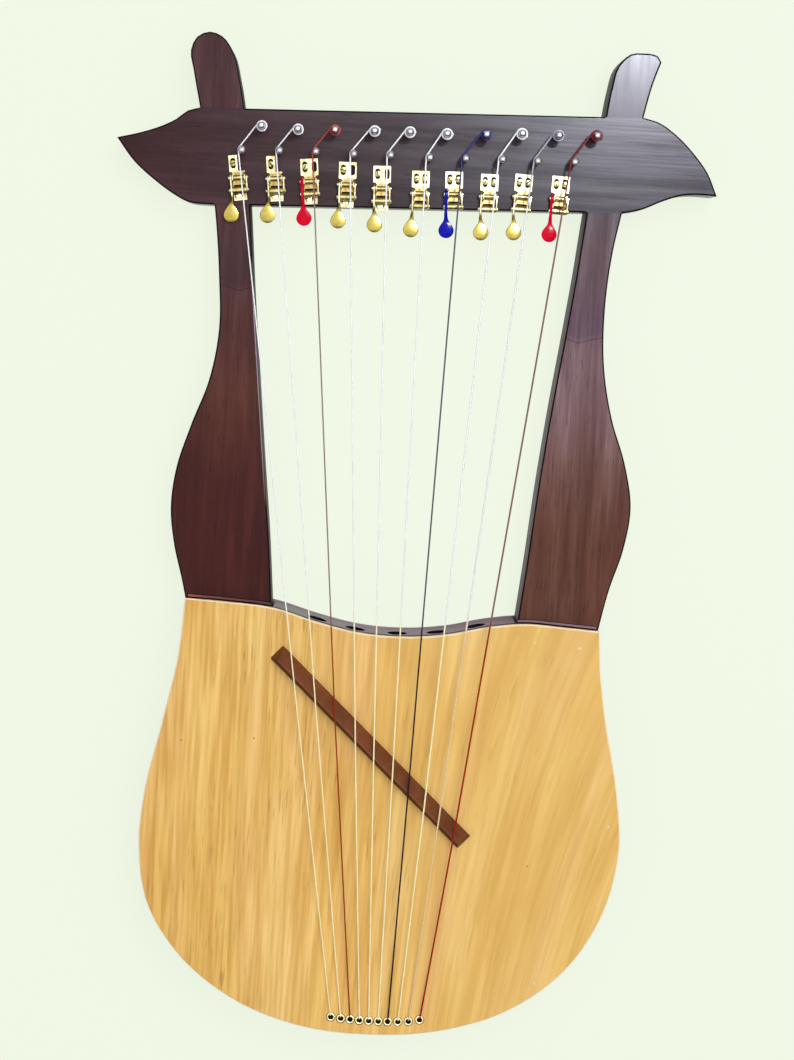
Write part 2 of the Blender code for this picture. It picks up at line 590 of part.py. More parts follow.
def string_route(i):
    """The middle line of one string, with a width factor for each point, from knot to tail."""
    radius = STRING_D[i] / 2
    eyelet, guide, pin = eyelet_at(i), guide_at(i), tuning_at(i)
    guide_turn = GUIDE_GROOVE_R + SEAT + radius
    pin_turn = PIN_R + SEAT + radius + WRAP
    crest = crest_crossing(eyelet, guide + Vector((-guide_turn, 0)))

    under, face = BLOCK_LOW - SEAT, BODY_DEPTH + SEAT + EYELET_FLANGE
    out = (crest - eyelet).normalized()
    clear = face + SEAT + radius
    rise = BODY_DEPTH + SEAT + BRIDGE_HEIGHT + SEAT + radius
    route = [(*eyelet, under - depth, KNOT_R / radius if thick else 1.0) for depth, thick in KNOT]
    route += [(*eyelet, face - 0.9, 1.0), (*(eyelet + out * 0.5), face + 0.15, 1.0),
              (*(eyelet + out * 1.5), clear + 0.05, 1.0), (*(eyelet + out * 3.4), clear + 0.2, 1.0),
              (*crest, rise, 1.0)]

    # Round the left side of the guide pin, turning clockwise towards the tuning pin
    reach = (guide - crest).length
    arriving = math.atan2(guide.y - crest.y, guide.x - crest.x) + math.asin(guide_turn / reach)
    gap = pin - guide
    leaving = math.atan2(gap.y, gap.x) - math.asin((pin_turn - guide_turn) / gap.length)
    for k in range(4):
        angle = arriving + (leaving - arriving) * k / 3 + math.pi / 2
        route.append((guide.x + guide_turn * math.cos(angle), guide.y + guide_turn * math.sin(angle),
                      STRING_HIGH, 1.0))

    # Clockwise round the tuning pin, climbing a little more than its own thickness a turn
    pitch = STRING_D[i] + WINDING_GAP
    for k in range(WINDINGS[i] + 1):
        angle = leaving + math.pi / 2 - 2 * math.pi * k / WINDING_POINTS
        route.append((pin.x + pin_turn * math.cos(angle), pin.y + pin_turn * math.sin(angle),
                      STRING_HIGH + pitch * k / WINDING_POINTS, 1.0))
    last = leaving - 2 * math.pi * WINDINGS[i] / WINDING_POINTS + TAIL_LEAN
    x, y, z, _ = route[-1]
    route.append((x + TAILS[i] * math.cos(last), y + TAILS[i] * math.sin(last), z + TAILS[i] * TAIL_RISE, 1.0))
    return route


def winding_gap(route, diameter, points):
    """Least clear distance between parts of a string's winding that aren't neighbours."""
    coil = [Vector(p[:3]) for p in route[-(points + 4):]]
    fine = [a.lerp(b, t / 4) for a, b in zip(coil, coil[1:]) for t in range(4)]
    skip = 4 * WINDING_POINTS // 2
    return min((a - b).length for i, a in enumerate(fine) for b in fine[i + skip:]) - diameter


def make_strings(materials):
    colours = ["white", "white", "red", "white", "white", "white", "blue", "white", "clear", "red"]
    least = []
    for i in range(COUNT):
        route = string_route(i)
        curve = bpy.data.curves.new(f"string_{i + 1}", "CURVE")
        curve.dimensions = "3D"
        curve.bevel_depth = STRING_D[i] / 2 * MM
        curve.bevel_resolution = 1
        curve.use_fill_caps = True
        spline = curve.splines.new("POLY")
        spline.points.add(len(route) - 1)
        for point, (x, y, z, width) in zip(spline.points, route):
            point.co = (x * MM, y * MM, z * MM, 1)
            point.radius = width
        curve.materials.append(materials[colours[i]])
        obj = bpy.data.objects.new(f"string_{i + 1}", curve)
        bpy.context.scene.collection.objects.link(obj)
        least.append(winding_gap(route, STRING_D[i], WINDINGS[i]))
    print(f"least gap between turns of a winding: {min(least):.2f} mm")


# Sharping levers

def lever_frame(i):
    """Where lever i stands on the crossbar: its pivot in plan and its turn."""
    return Vector(PIVOTS[i]), -math.radians(LEVER_TURN[i])


def slot_ring(x, y, radius, reach, sides=3):
    """An oblong slot along y."""
    ring = []
    for centre, first in ((y + reach, 0.0), (y - reach, math.pi)):
        for k in range(sides + 1):
            angle = first + math.pi * k / sides
            ring.append(Vector((x + radius * math.cos(angle), centre + radius * math.sin(angle))))
    return ring


def bracket_mesh(long_base, narrow, mat):
    """Folded brass bracket: slotted plate, floor, and two cheeks that hold the axle."""
    low, high = SEAT, SEAT + SHEET
    end = BASE_END_LONG if long_base else BASE_END_SHORT
    left, right = CHEEK_LEFT[0], CHEEK_RIGHT[1]
    plate = NARROW_X if narrow else (-PLATE_HALF, PLATE_HALF)
    ring = [Vector(p) for p in [(left, end), (right, end), (right, PLATE_Y[0] - NECK), (plate[1], PLATE_Y[0]),
                                (plate[1], PLATE_Y[1] - PLATE_CORNER), (plate[1] - PLATE_CORNER, PLATE_Y[1]),
                                (plate[0] + PLATE_CORNER, PLATE_Y[1]), (plate[0], PLATE_Y[1] - PLATE_CORNER),
                                (plate[0], PLATE_Y[0]), (left, PLATE_Y[0])]]
    if narrow:
        ring[3:4] = [Vector((right, PLATE_Y[0])), Vector((plate[1], PLATE_Y[0] + NECK))]
    base = slab("bracket", ring, low, high, mat)

    def cheeks(bm):
        for x0, x1 in (CHEEK_LEFT, CHEEK_RIGHT):
            side = [(-CHEEK_HALF, high - 0.5), (CHEEK_HALF, high - 0.5), (CHEEK_HALF, CHEEK_SHOULDER),
                    (CHEEK_HALF - CHEEK_CORNER, CHEEK_TOP), (-CHEEK_HALF + CHEEK_CORNER, CHEEK_TOP),
                    (-CHEEK_HALF, CHEEK_SHOULDER)]
            stack(bm, [[(x0, y, z) for y, z in side], [(x1, y, z) for y, z in side]])
    boolean(base, cutter(cheeks), "UNION")
    slots = [slot_ring(SLOT_LEFT, SLOT_Y, SLOT_R, SLOT_REACH)]
    if not narrow:
        slots.append(slot_ring(SLOT_RIGHT_LONG if long_base else SLOT_RIGHT_SHORT, SLOT_Y, SLOT_R, SLOT_REACH))
    if long_base:
        slots.append(slot_ring(*TAIL_HOLE, TAIL_HOLE_R, TAIL_HOLE_REACH, sides=5))

    def openings(bm):
        for ring in slots:
            stack(bm, [at_height(ring, low - PAST), at_height(ring, high + PAST)])
        box(bm, (left + WINDOW_SIDE, WINDOW_Y[0], low - PAST), (right - WINDOW_SIDE, WINDOW_Y[1], high + PAST))
    boolean(base, cutter(openings), "DIFFERENCE")
    bore = cutter(lambda bm: peg(bm, [(AXLE_HOLE_R, -20), (AXLE_HOLE_R, 20)], 8))
    bore.data.transform(Matrix.Translation((0, 0, PIVOT_HIGH * MM)) @ Matrix.Rotation(math.pi / 2, 4, "Y"))
    boolean(base, bore, "DIFFERENCE")
    mesh = base.data
    bpy.data.objects.remove(base)
    return mesh


def make_brackets(mat):
    kinds = {}
    for i in range(COUNT):
        kind = (i < LONG_BASE, i < NARROW_PLATE)
        if kind not in kinds:
            kinds[kind] = bracket_mesh(*kind, mat)
        obj = bpy.data.objects.new(f"lever_bracket_{i + 1}", kinds[kind])
        bpy.context.scene.collection.objects.link(obj)
        pivot, turn = lever_frame(i)
        obj.location = (pivot.x * MM, pivot.y * MM, ARM_DEPTH * MM)
        obj.rotation_euler = (0, 0, turn)


def stem_outline():
    """Side view of the stem: round about the pivot, straight down past the roller."""
    ring = [(STEM_ROUND * math.cos(a), STEM_ROUND * math.sin(a))
            for a in (math.radians(-80 + 40 * k) for k in range(5))]
    foot = PADDLE[0]
    return ring + [(foot[0], foot[2]), (foot[0], -foot[2])]


def handle_mesh(mat, paddle_x):
    """Stem, twisted paddle, axle, roller and link of one lever, about its pivot."""
    bm = bmesh.new()
    stack(bm, [[(x, y, z) for y, z in stem_outline()] for x in STEM_X])
    stem = mesh_object("handle", bm, mat)

    def paddle(bm):
        rings = []
        middle = (STEM_X[0] + STEM_X[1]) / 2
        for y, share, half, thick, turn in [(PADDLE[0][0] + 1.0, *PADDLE[0][1:])] + PADDLE:
            x = middle + (paddle_x - middle) * share
            a = math.radians(turn)
            across, up = Vector((math.cos(a), math.sin(a))), Vector((-math.sin(a), math.cos(a)))
            rings.append([(x + c.x, y, c.y) for c in (across * half + up * thick, -across * half + up * thick,
                                                      -across * half - up * thick, across * half - up * thick)])
        stack(bm, rings)
    boolean(stem, cutter(paddle), "UNION")

    def link(bm):
        ring = []
        for centre, radius, first in ((0.0, LINK_AXLE_R, -60), (-CRANK, LINK_ROLLER_R, 120)):
            for k in range(4):
                a = math.radians(first + 40 * k)
                ring.append((centre + radius * math.cos(a), radius * math.sin(a)))
        stack(bm, [[(x, y, z) for y, z in ring] for x in LINK_X])
    boolean(stem, cutter(link), "UNION")
    inner, outer = STEM_X[1] - 0.5, LINK_X[0] + 0.4
    for y, radius in ((0.0, AXLE_R), (-CRANK, ROLLER_R)):
        profile = [(RIVET_R, RIVET_X[0]), (RIVET_R, inner), (radius, inner), (radius, outer),
                   (RIVET_R, outer), (RIVET_R, RIVET_X[1])]
        rod = cutter(lambda bm: peg(bm, profile, 8))
        rod.data.transform(Matrix.Translation((0, y * MM, 0)) @ Matrix.Rotation(math.pi / 2, 4, "Y"))
        boolean(stem, rod, "UNION")
    mesh = stem.data
    bpy.data.objects.remove(stem)
    return mesh


def make_handles(materials):
    colours = ["gold", "gold", "red", "gold", "gold", "gold", "blue", "gold", "gold", "red"]
    for i, colour in enumerate(colours):
        mesh = handle_mesh(materials[colour], PADDLE_X[i])
        obj = bpy.data.objects.new(f"lever_handle_{i + 1}", mesh)
        bpy.context.scene.collection.objects.link(obj)
        pivot, turn = lever_frame(i)
        obj.location = (pivot.x * MM, pivot.y * MM, (ARM_DEPTH + PIVOT_HIGH) * MM)
        obj.rotation_euler = (0, 0, turn)


def main():
    clear_scene()
    rosewood = material("rosewood", (0.10, 0.045, 0.035), 0.32)
    stained = material("stained_crossbar", (0.055, 0.035, 0.04), 0.3)
    ash = material("ash", (0.78, 0.56, 0.27), 0.4)
    inner_wood = material("inner_wood", (0.62, 0.46, 0.28), 0.7)
    bridge_wood = material("bridge_wood", (0.2, 0.075, 0.04), 0.45)
    brass = material("brass", (0.8, 0.6, 0.22), 0.25, 1.0)
    steel = material("plated_steel", (0.75, 0.76, 0.78), 0.15, 1.0)
    strings = {"white": material("white_string", (0.85, 0.84, 0.8), 0.3),
               "red": material("red_string", (0.6, 0.08, 0.04), 0.3),
               "blue": material("blue_string", (0.03, 0.04, 0.3), 0.3),
               "clear": material("clear_string", (0.7, 0.68, 0.6), 0.2)}
    paddles = {"gold": brass, "red": material("red_lever", (0.7, 0.0, 0.02), 0.25),
               "blue": material("blue_lever", (0.01, 0.01, 0.4), 0.25)}

    make_soundboard(ash)
    make_back(ash)
    make_rim(rosewood)
    make_end_wall(rosewood)
    left, right = arm_outlines()
    arm("left_arm", left, rosewood)
    arm("right_arm", right, rosewood)
    make_crossbar(stained)
    make_bridge(bridge_wood)
    make_string_block(inner_wood)
    make_brace(inner_wood)
    make_eyelets(brass)
    make_tuning_pins(steel)
    make_strings(strings)
    make_brackets(brass)
    make_handles(paddles)


main()
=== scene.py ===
"""Finish for the ten-string lyre harp: lacquered woods, polished brass, plated pins and nylon strings.

The frame's coordinates are in metres: X across the instrument, Y towards the crossbar, Z out of the
soundboard. Sizes here are in millimetres and become metres when a mesh is made.
"""

import json
import math

import bmesh
import bpy
from mathutils import Matrix, Vector


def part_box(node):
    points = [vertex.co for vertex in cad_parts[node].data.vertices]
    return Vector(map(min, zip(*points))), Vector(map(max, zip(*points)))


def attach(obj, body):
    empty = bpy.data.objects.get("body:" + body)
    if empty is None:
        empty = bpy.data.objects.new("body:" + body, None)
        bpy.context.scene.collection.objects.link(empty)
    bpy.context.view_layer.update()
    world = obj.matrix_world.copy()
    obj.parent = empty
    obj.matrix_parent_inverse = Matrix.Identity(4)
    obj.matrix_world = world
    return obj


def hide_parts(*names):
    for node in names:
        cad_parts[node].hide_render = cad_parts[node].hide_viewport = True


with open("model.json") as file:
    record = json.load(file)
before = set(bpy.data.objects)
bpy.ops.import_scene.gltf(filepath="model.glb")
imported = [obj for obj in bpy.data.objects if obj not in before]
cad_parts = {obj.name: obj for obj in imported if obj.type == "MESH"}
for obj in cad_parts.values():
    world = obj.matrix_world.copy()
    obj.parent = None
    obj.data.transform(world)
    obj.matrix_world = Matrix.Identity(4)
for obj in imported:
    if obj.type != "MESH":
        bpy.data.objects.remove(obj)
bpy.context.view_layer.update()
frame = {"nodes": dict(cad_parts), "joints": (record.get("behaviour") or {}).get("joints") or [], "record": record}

MM = 0.001
COUNT = 10
NODES = frame["nodes"]

# Camera, as fitted to the photograph: 1.5 m above the soundboard, a little towards the crossbar
CAMERA_AT = (-37.2, 178.2, 1544.0)
CAMERA_RIGHT = (0.99816, 0.05783, 0.01815)
CAMERA_UP = (-0.05548, 0.99230, -0.11071)
CAMERA_BACK = (-0.02441, 0.10950, 0.99369)
LENS_MM = 74.4

PAPER = (0.880, 0.940, 0.790)      # pale green-white of floor and backdrop, as linear values
CARD_LONG, CARD_AWAY = 2.4, 1.2    # dark cards round the table, in metres
CARDS_HIGH = (1.3, 0.7, 0.4, 0.5)    # at the tail, on the right, past the crossbar and on the left
DARK_FELT = (0.07, 0.055, 0.05)
WHITE_CARD = (1.0, 0.99, 0.96)


# Small tools for node trees

def place(tree, kind, inputs=None, **settings):
    """Add a node, set its options, and set or link its inputs."""
    node = tree.nodes.new(kind)
    for key, value in settings.items():
        setattr(node, key, value)
    for key, value in (inputs or {}).items():
        if isinstance(value, bpy.types.NodeSocket):
            tree.links.new(value, node.inputs[key])
        else:
            node.inputs[key].default_value = value
    return node


def maths(tree, operation, a, b=0.0, clamp=False):
    return place(tree, "ShaderNodeMath", {0: a, 1: b}, operation=operation, use_clamp=clamp).outputs[0]


def ramp(tree, fac, stops):
    """Colour ramp through (position, (r, g, b)) stops."""
    node = place(tree, "ShaderNodeValToRGB", {"Fac": fac})
    elements = node.color_ramp.elements
    while len(elements) < len(stops):
        elements.new(1.0)
    for element, (position, colour) in zip(elements, stops):
        element.position = position
        element.color = (*colour, 1.0)
    return node.outputs["Color"]


def blend_floats(tree, fac, a, b):
    return place(tree, "ShaderNodeMix", {0: fac, 2: a, 3: b}, data_type="FLOAT").outputs[0]


def blend_colours(tree, fac, a, b, how="MIX"):
    node = place(tree, "ShaderNodeMix", {"Factor": fac}, data_type="RGBA", blend_type=how)
    for socket, value in ((node.inputs[6], a), (node.inputs[7], b)):
        if isinstance(value, bpy.types.NodeSocket):
            tree.links.new(value, socket)
        else:
            socket.default_value = (*value, 1.0)
    return node.outputs[2]


def new_group(name, inputs, outputs):
    """A shader node group with named float inputs and outputs; returns its tree and end nodes."""
    group = bpy.data.node_groups.new(name, "ShaderNodeTree")
    group.interface.new_socket("Vector", in_out="INPUT", socket_type="NodeSocketVector")
    for label, value in inputs:
        group.interface.new_socket(label, in_out="INPUT", socket_type="NodeSocketFloat").default_value = value
    for label in outputs:
        group.interface.new_socket(label, in_out="OUTPUT", socket_type="NodeSocketFloat")
    return group, group.nodes.new("NodeGroupInput"), group.nodes.new("NodeGroupOutput")


def use_group(tree, group, vector, **values):
    node = place(tree, "ShaderNodeGroup", node_tree=group)
    tree.links.new(vector, node.inputs["Vector"])
    for label, value in values.items():
        node.inputs[label].default_value = value
    return node


def grain_vector(tree, turn=0.0, shift=(0.0, 0.0, 0.0)):
    """Object coordinates turned so that the grain runs along Y."""
    where = place(tree, "ShaderNodeTexCoord").outputs["Object"]
    return place(tree, "ShaderNodeMapping", {"Vector": where, "Location": shift,
                                             "Rotation": (0.0, 0.0, math.radians(turn))}).outputs[0]


# Effects shared by several materials

def stretched_noise(tree, vector, stretch, scale, low=0.35, high=0.65, **settings):
    """Noise drawn out along Y and spread over 0 to 1; stretch is across against along."""
    factors = place(tree, "ShaderNodeCombineXYZ", {"X": 1.0, "Y": stretch, "Z": 1.0}).outputs[0]
    drawn = place(tree, "ShaderNodeVectorMath", {0: vector, 1: factors}, operation="MULTIPLY").outputs[0]
    noise = place(tree, "ShaderNodeTexNoise", {"Vector": drawn, "Scale": scale, **settings}).outputs["Fac"]
    return place(tree, "ShaderNodeMapRange", {"Value": noise, "From Min": low, "From Max": high}).outputs[0]


def make_grain_group():
    """Blotches, streaks, fine growth lines and short pores, all drawn out along Y."""
    group, given, out = new_group(
        "wood_grain", [("Blotch Scale", 16.0), ("Streak Scale", 90.0), ("Line Scale", 420.0), ("Pore Scale", 900.0),
                       ("Stretch", 0.05)],
        ["Blotches", "Streaks", "Lines", "Pores", "Height"])
    vector, stretch = given.outputs["Vector"], given.outputs["Stretch"]
    blotches = stretched_noise(group, vector, maths(group, "MULTIPLY", stretch, 3.0), given.outputs["Blotch Scale"],
                               Detail=2.0, Roughness=0.55, Distortion=0.4)
    streaks = stretched_noise(group, vector, stretch, given.outputs["Streak Scale"], Detail=3.0, Roughness=0.6)
    lines = stretched_noise(group, vector, maths(group, "MULTIPLY", stretch, 0.6), given.outputs["Line Scale"],
                            Detail=1.0, Roughness=0.5)
    pores = stretched_noise(group, vector, stretch, given.outputs["Pore Scale"], 0.60, 0.72, Detail=1.0)
    height = maths(group, "SUBTRACT", maths(group, "MULTIPLY", lines, 0.3), pores)
    for label, socket in (("Blotches", blotches), ("Streaks", streaks), ("Lines", lines), ("Pores", pores),
                          ("Height", height)):
        group.links.new(socket, out.inputs[label])
    return group


def make_handling_group():
    """Faint smears and dust specks of a handled, lacquered or polished surface."""
    group, given, out = new_group("handling", [("Scale", 30.0)], ["Smear", "Specks"])
    vector = given.outputs["Vector"]
    smear = place(group, "ShaderNodeTexNoise", {"Vector": vector, "Scale": given.outputs["Scale"], "Detail": 5.0,
                                                "Roughness": 0.65, "Distortion": 0.6}).outputs["Fac"]
    cells = place(group, "ShaderNodeTexVoronoi", {"Vector": vector, "Scale": 420.0}).outputs["Distance"]
    specks = place(group, "ShaderNodeMapRange", {"Value": cells, "From Min": 0.10, "From Max": 0.04}).outputs[0]
    group.links.new(smear, out.inputs["Smear"])
    group.links.new(specks, out.inputs["Specks"])
    return group


GRAIN = make_grain_group()
HANDLING = make_handling_group()


# Materials

def new_material(name, **constants):
    """A material with plain numbers set on its Principled shader."""
    mat = bpy.data.materials.new(name)
    mat.use_nodes = True
    tree = mat.node_tree
    shader = tree.nodes["Principled BSDF"]
    for label, value in constants.items():
        shader.inputs[label.replace("_", " ")].default_value = value
    return mat, tree, shader


def between_values(tree, fac, low, high):
    return place(tree, "ShaderNodeMapRange", {"Value": fac, "To Min": low, "To Max": high}).outputs[0]


def position(tree):
    """The piece's own coordinates as separate X, Y and Z."""
    where = place(tree, "ShaderNodeTexCoord").outputs["Object"]
    return place(tree, "ShaderNodeSeparateXYZ", {0: where}).outputs


def spread(tree, value, low, high):
    """0 below low, 1 above high, in between a straight line."""
    return place(tree, "ShaderNodeMapRange", {"Value": value, "From Min": low, "From Max": high}).outputs[0]


def leaning_vector(tree):
    """Object coordinates whose grain lies along Y at the left and leans over towards the right."""
    at = position(tree)
    lean = maths(tree, "MULTIPLY", maths(tree, "POWER", spread(tree, at["X"], -0.12, 0.17), 2.0), 0.34)
    across = maths(tree, "SUBTRACT", at["X"], maths(tree, "MULTIPLY", lean, maths(tree, "ADD", at["Y"], 0.2)))
    return place(tree, "ShaderNodeCombineXYZ", {"X": across, "Y": at["Y"], "Z": at["Z"]}).outputs[0]


def lengthwise(tree, colour, fac, tint):
    """Multiply a tint into a colour where the factor is high."""
    return blend_colours(tree, fac, colour, tint, "MULTIPLY")


def ash_material():
    """Golden straight-grained soundboard under satin lacquer, with short brown pores."""
    mat, tree, shader = new_material("ash_lacquered", Specular_IOR_Level=0.10)
    vector = leaning_vector(tree)
    grain = use_group(tree, GRAIN, vector, **{"Blotch Scale": 22.0, "Streak Scale": 100.0, "Line Scale": 330.0,
                                              "Pore Scale": 620.0, "Stretch": 0.075}).outputs
    at = position(tree)
    left = maths(tree, "SUBTRACT", 1.0, spread(tree, at["X"], -0.10, 0.06))
    colour = ramp(tree, grain["Blotches"], [(0.0, (0.820, 0.495, 0.130)), (0.35, (0.870, 0.545, 0.147)),
                                            (0.7, (0.910, 0.592, 0.178)), (1.0, (0.945, 0.635, 0.215))])
    peach = stretched_noise(tree, vector, 0.1, 34.0, 0.42, 0.62, Detail=1.0)
    colour = blend_colours(tree, maths(tree, "MULTIPLY", peach, 0.4), colour, (0.950, 0.600, 0.250))
    streak = maths(tree, "MULTIPLY", grain["Streaks"], 0.6)
    colour = lengthwise(tree, colour, streak, (0.84, 0.76, 0.62))
    line = maths(tree, "MULTIPLY", grain["Lines"], maths(tree, "ADD", maths(tree, "MULTIPLY", left, 0.50), 0.34))
    colour = lengthwise(tree, colour, line, (0.76, 0.65, 0.46))
    patchy = stretched_noise(tree, vector, 0.4, 26.0, 0.40, 0.60, Detail=2.0)
    pores = maths(tree, "MULTIPLY", grain["Pores"], maths(tree, "ADD", maths(tree, "MULTIPLY", left, 0.25), 0.20))
    colour = blend_colours(tree, maths(tree, "MULTIPLY", pores, patchy), colour, (0.300, 0.130, 0.030))
    # Painted shade: the board is darker towards the upper right, nearer the lamp, to even out the lamp's falloff.
    near = maths(tree, "ADD", at["X"], at["Y"])
    colour = lengthwise(tree, colour, spread(tree, near, -0.35, 0.05), (0.93, 0.93, 0.93))
    tree.links.new(colour, shader.inputs["Base Color"])
    wear = use_group(tree, HANDLING, vector, Scale=22.0)
    tree.links.new(between_values(tree, wear.outputs["Smear"], 0.34, 0.5), shader.inputs["Roughness"])
    bump = place(tree, "ShaderNodeBump", {"Height": grain["Height"], "Strength": 0.10, "Distance": 0.0002})
    tree.links.new(bump.outputs[0], shader.inputs["Normal"])
    return mat


def bevel_material():
    """Pale bevel along the soundboard's edge: a painted highlight on the rounded edge."""
    mat, tree, shader = new_material("ash_bevel", Specular_IOR_Level=0.3)
    vector = leaning_vector(tree)
    grain = use_group(tree, GRAIN, vector, **{"Blotch Scale": 40.0, "Streak Scale": 150.0}).outputs
    colour = ramp(tree, grain["Streaks"], [(0.0, (0.92, 0.70, 0.40)), (1.0, (1.0, 0.84, 0.58))])
    tree.links.new(colour, shader.inputs["Base Color"])
    tree.links.new(between_values(tree, grain["Blotches"], 0.4, 0.55), shader.inputs["Roughness"])
    return mat


def stained_material(name, tones, axis="Y", turn=0.0, roughness=(0.15, 0.28), specular=0.10, blotch=22.0,
                     contrast=1.0, seam=None):
    """Stained plank under gloss lacquer: tones along one axis, with the grain's streaks worked into them.

    tones are (metres along the axis, colour) pairs; seam is where a scarf joint crosses the plank.
    """
    mat, tree, shader = new_material(name, Specular_IOR_Level=specular)
    vector = grain_vector(tree, turn)
    grain = use_group(tree, GRAIN, vector, **{"Blotch Scale": blotch, "Streak Scale": 120.0, "Line Scale": 520.0,
                                              "Pore Scale": 1000.0, "Stretch": 0.07}).outputs
    at = position(tree)
    first, last = tones[0][0], tones[-1][0]
    wander = between_values(tree, grain["Blotches"], -0.012, 0.012)
    along = spread(tree, maths(tree, "ADD", at[axis], wander), first, last)
    colour = ramp(tree, along, [((where - first) / (last - first), tone) for where, tone in tones])
    patches = between_values(tree, grain["Blotches"], 0.78, 1.16)
    colour = blend_colours(tree, 1.0, colour, place(tree, "ShaderNodeCombineXYZ", {
        "X": patches, "Y": patches, "Z": patches}).outputs[0], "MULTIPLY")
    bright = maths(tree, "MULTIPLY", maths(tree, "POWER", grain["Streaks"], 2.0), contrast)
    colour = lengthwise(tree, colour, bright, (1.40, 1.75, 1.70))
    colour = lengthwise(tree, colour, maths(tree, "MULTIPLY", grain["Lines"], 0.5 * contrast), (0.58, 0.52, 0.56))
    colour = lengthwise(tree, colour, maths(tree, "MULTIPLY", grain["Pores"], 0.5 * contrast), (0.25, 0.25, 0.3))
    if seam:
        wave = maths(tree, "MULTIPLY", maths(tree, "ABSOLUTE", maths(tree, "SUBTRACT", at["X"], seam[0])), 0.28)
        beyond = maths(tree, "SUBTRACT", at["Y"], maths(tree, "ADD", wave, seam[1]))
        above = spread(tree, beyond, -0.001, 0.004)
        upto = maths(tree, "SUBTRACT", 1.0, spread(tree, beyond, 0.02, 0.055))
        colour = lengthwise(tree, colour, maths(tree, "MULTIPLY", above, upto), (0.70, 0.70, 0.86))
        line = maths(tree, "SUBTRACT", 1.0, spread(tree, maths(tree, "ABSOLUTE", beyond), 0.0002, 0.0009))
        colour = lengthwise(tree, colour, maths(tree, "MULTIPLY", line, 0.5), (0.3, 0.25, 0.3))
    tree.links.new(colour, shader.inputs["Base Color"])
    wear = use_group(tree, HANDLING, vector, Scale=16.0)
    rubbed = blend_floats(tree, 0.5, wear.outputs["Smear"], grain["Streaks"])
    tree.links.new(between_values(tree, rubbed, *roughness), shader.inputs["Roughness"])
    bump = place(tree, "ShaderNodeBump", {"Height": grain["Lines"], "Strength": 0.05, "Distance": 0.0001})
    tree.links.new(bump.outputs[0], shader.inputs["Normal"])
    return mat


def metal_material(name, colour, roughness, dull, fine=2600.0):
    """Polished metal with smears, dull patches left by handling and the fine lines of buffing."""
    mat, tree, shader = new_material(name, Metallic=1.0)
    vector = grain_vector(tree)
    wear = use_group(tree, HANDLING, vector, Scale=160.0)
    shade = ramp(tree, wear.outputs["Smear"], [(0.38, tuple(c * d for c, d in zip(colour, dull))), (0.62, colour)])
    tree.links.new(shade, shader.inputs["Base Color"])
    tree.links.new(between_values(tree, wear.outputs["Smear"], roughness * 1.4, roughness * 0.7),
                   shader.inputs["Roughness"])
    lines = place(tree, "ShaderNodeTexNoise", {"Vector": vector, "Scale": fine, "Detail": 1.0})
    bump = place(tree, "ShaderNodeBump", {"Height": lines.outputs["Fac"], "Strength": 0.06, "Distance": 0.00005})
    tree.links.new(bump.outputs[0], shader.inputs["Normal"])
    return mat


def nylon_material(name, low, middle, high, specular=0.4):
    """Smooth drawn nylon whose tone along Y is painted after what lies behind the thin string: the crossbar at the
    pins, the pale floor between the arms and the soundboard below.
    """
    mat, tree, shader = new_material(name, Specular_IOR_Level=specular)
    wear = use_group(tree, HANDLING, grain_vector(tree), Scale=90.0)
    # Painted see-through and reflection: low over the soundboard, middle over the floor between the arms, high over the
    # crossbar and pins.
    along = spread(tree, position(tree)["Y"], -0.1, 0.3)
    tone = ramp(tree, along, [(0.1, low), (0.15, middle), (0.82, middle), (0.90, high)])
    colour = lengthwise(tree, tone, spread(tree, wear.outputs["Smear"], 0.65, 0.3), (0.9, 0.9, 0.9))
    tree.links.new(colour, shader.inputs["Base Color"])
    tree.links.new(between_values(tree, wear.outputs["Smear"], 0.2, 0.34), shader.inputs["Roughness"])
    return mat


def enamel_material(name, colour):
    """Thick dipped enamel on a brass paddle."""
    mat, tree, shader = new_material(name, Specular_IOR_Level=0.045)
    vector = grain_vector(tree)
    wear = use_group(tree, HANDLING, vector, Scale=220.0)
    shade = ramp(tree, wear.outputs["Smear"], [(0.3, tuple(c * 0.8 for c in colour)), (0.6, colour)])
    tree.links.new(shade, shader.inputs["Base Color"])
    tree.links.new(between_values(tree, wear.outputs["Smear"], 0.10, 0.18), shader.inputs["Roughness"])
    bump = place(tree, "ShaderNodeBump", {"Height": wear.outputs["Smear"], "Strength": 0.2, "Distance": 0.0003})
    tree.links.new(bump.outputs[0], shader.inputs["Normal"])
    return mat


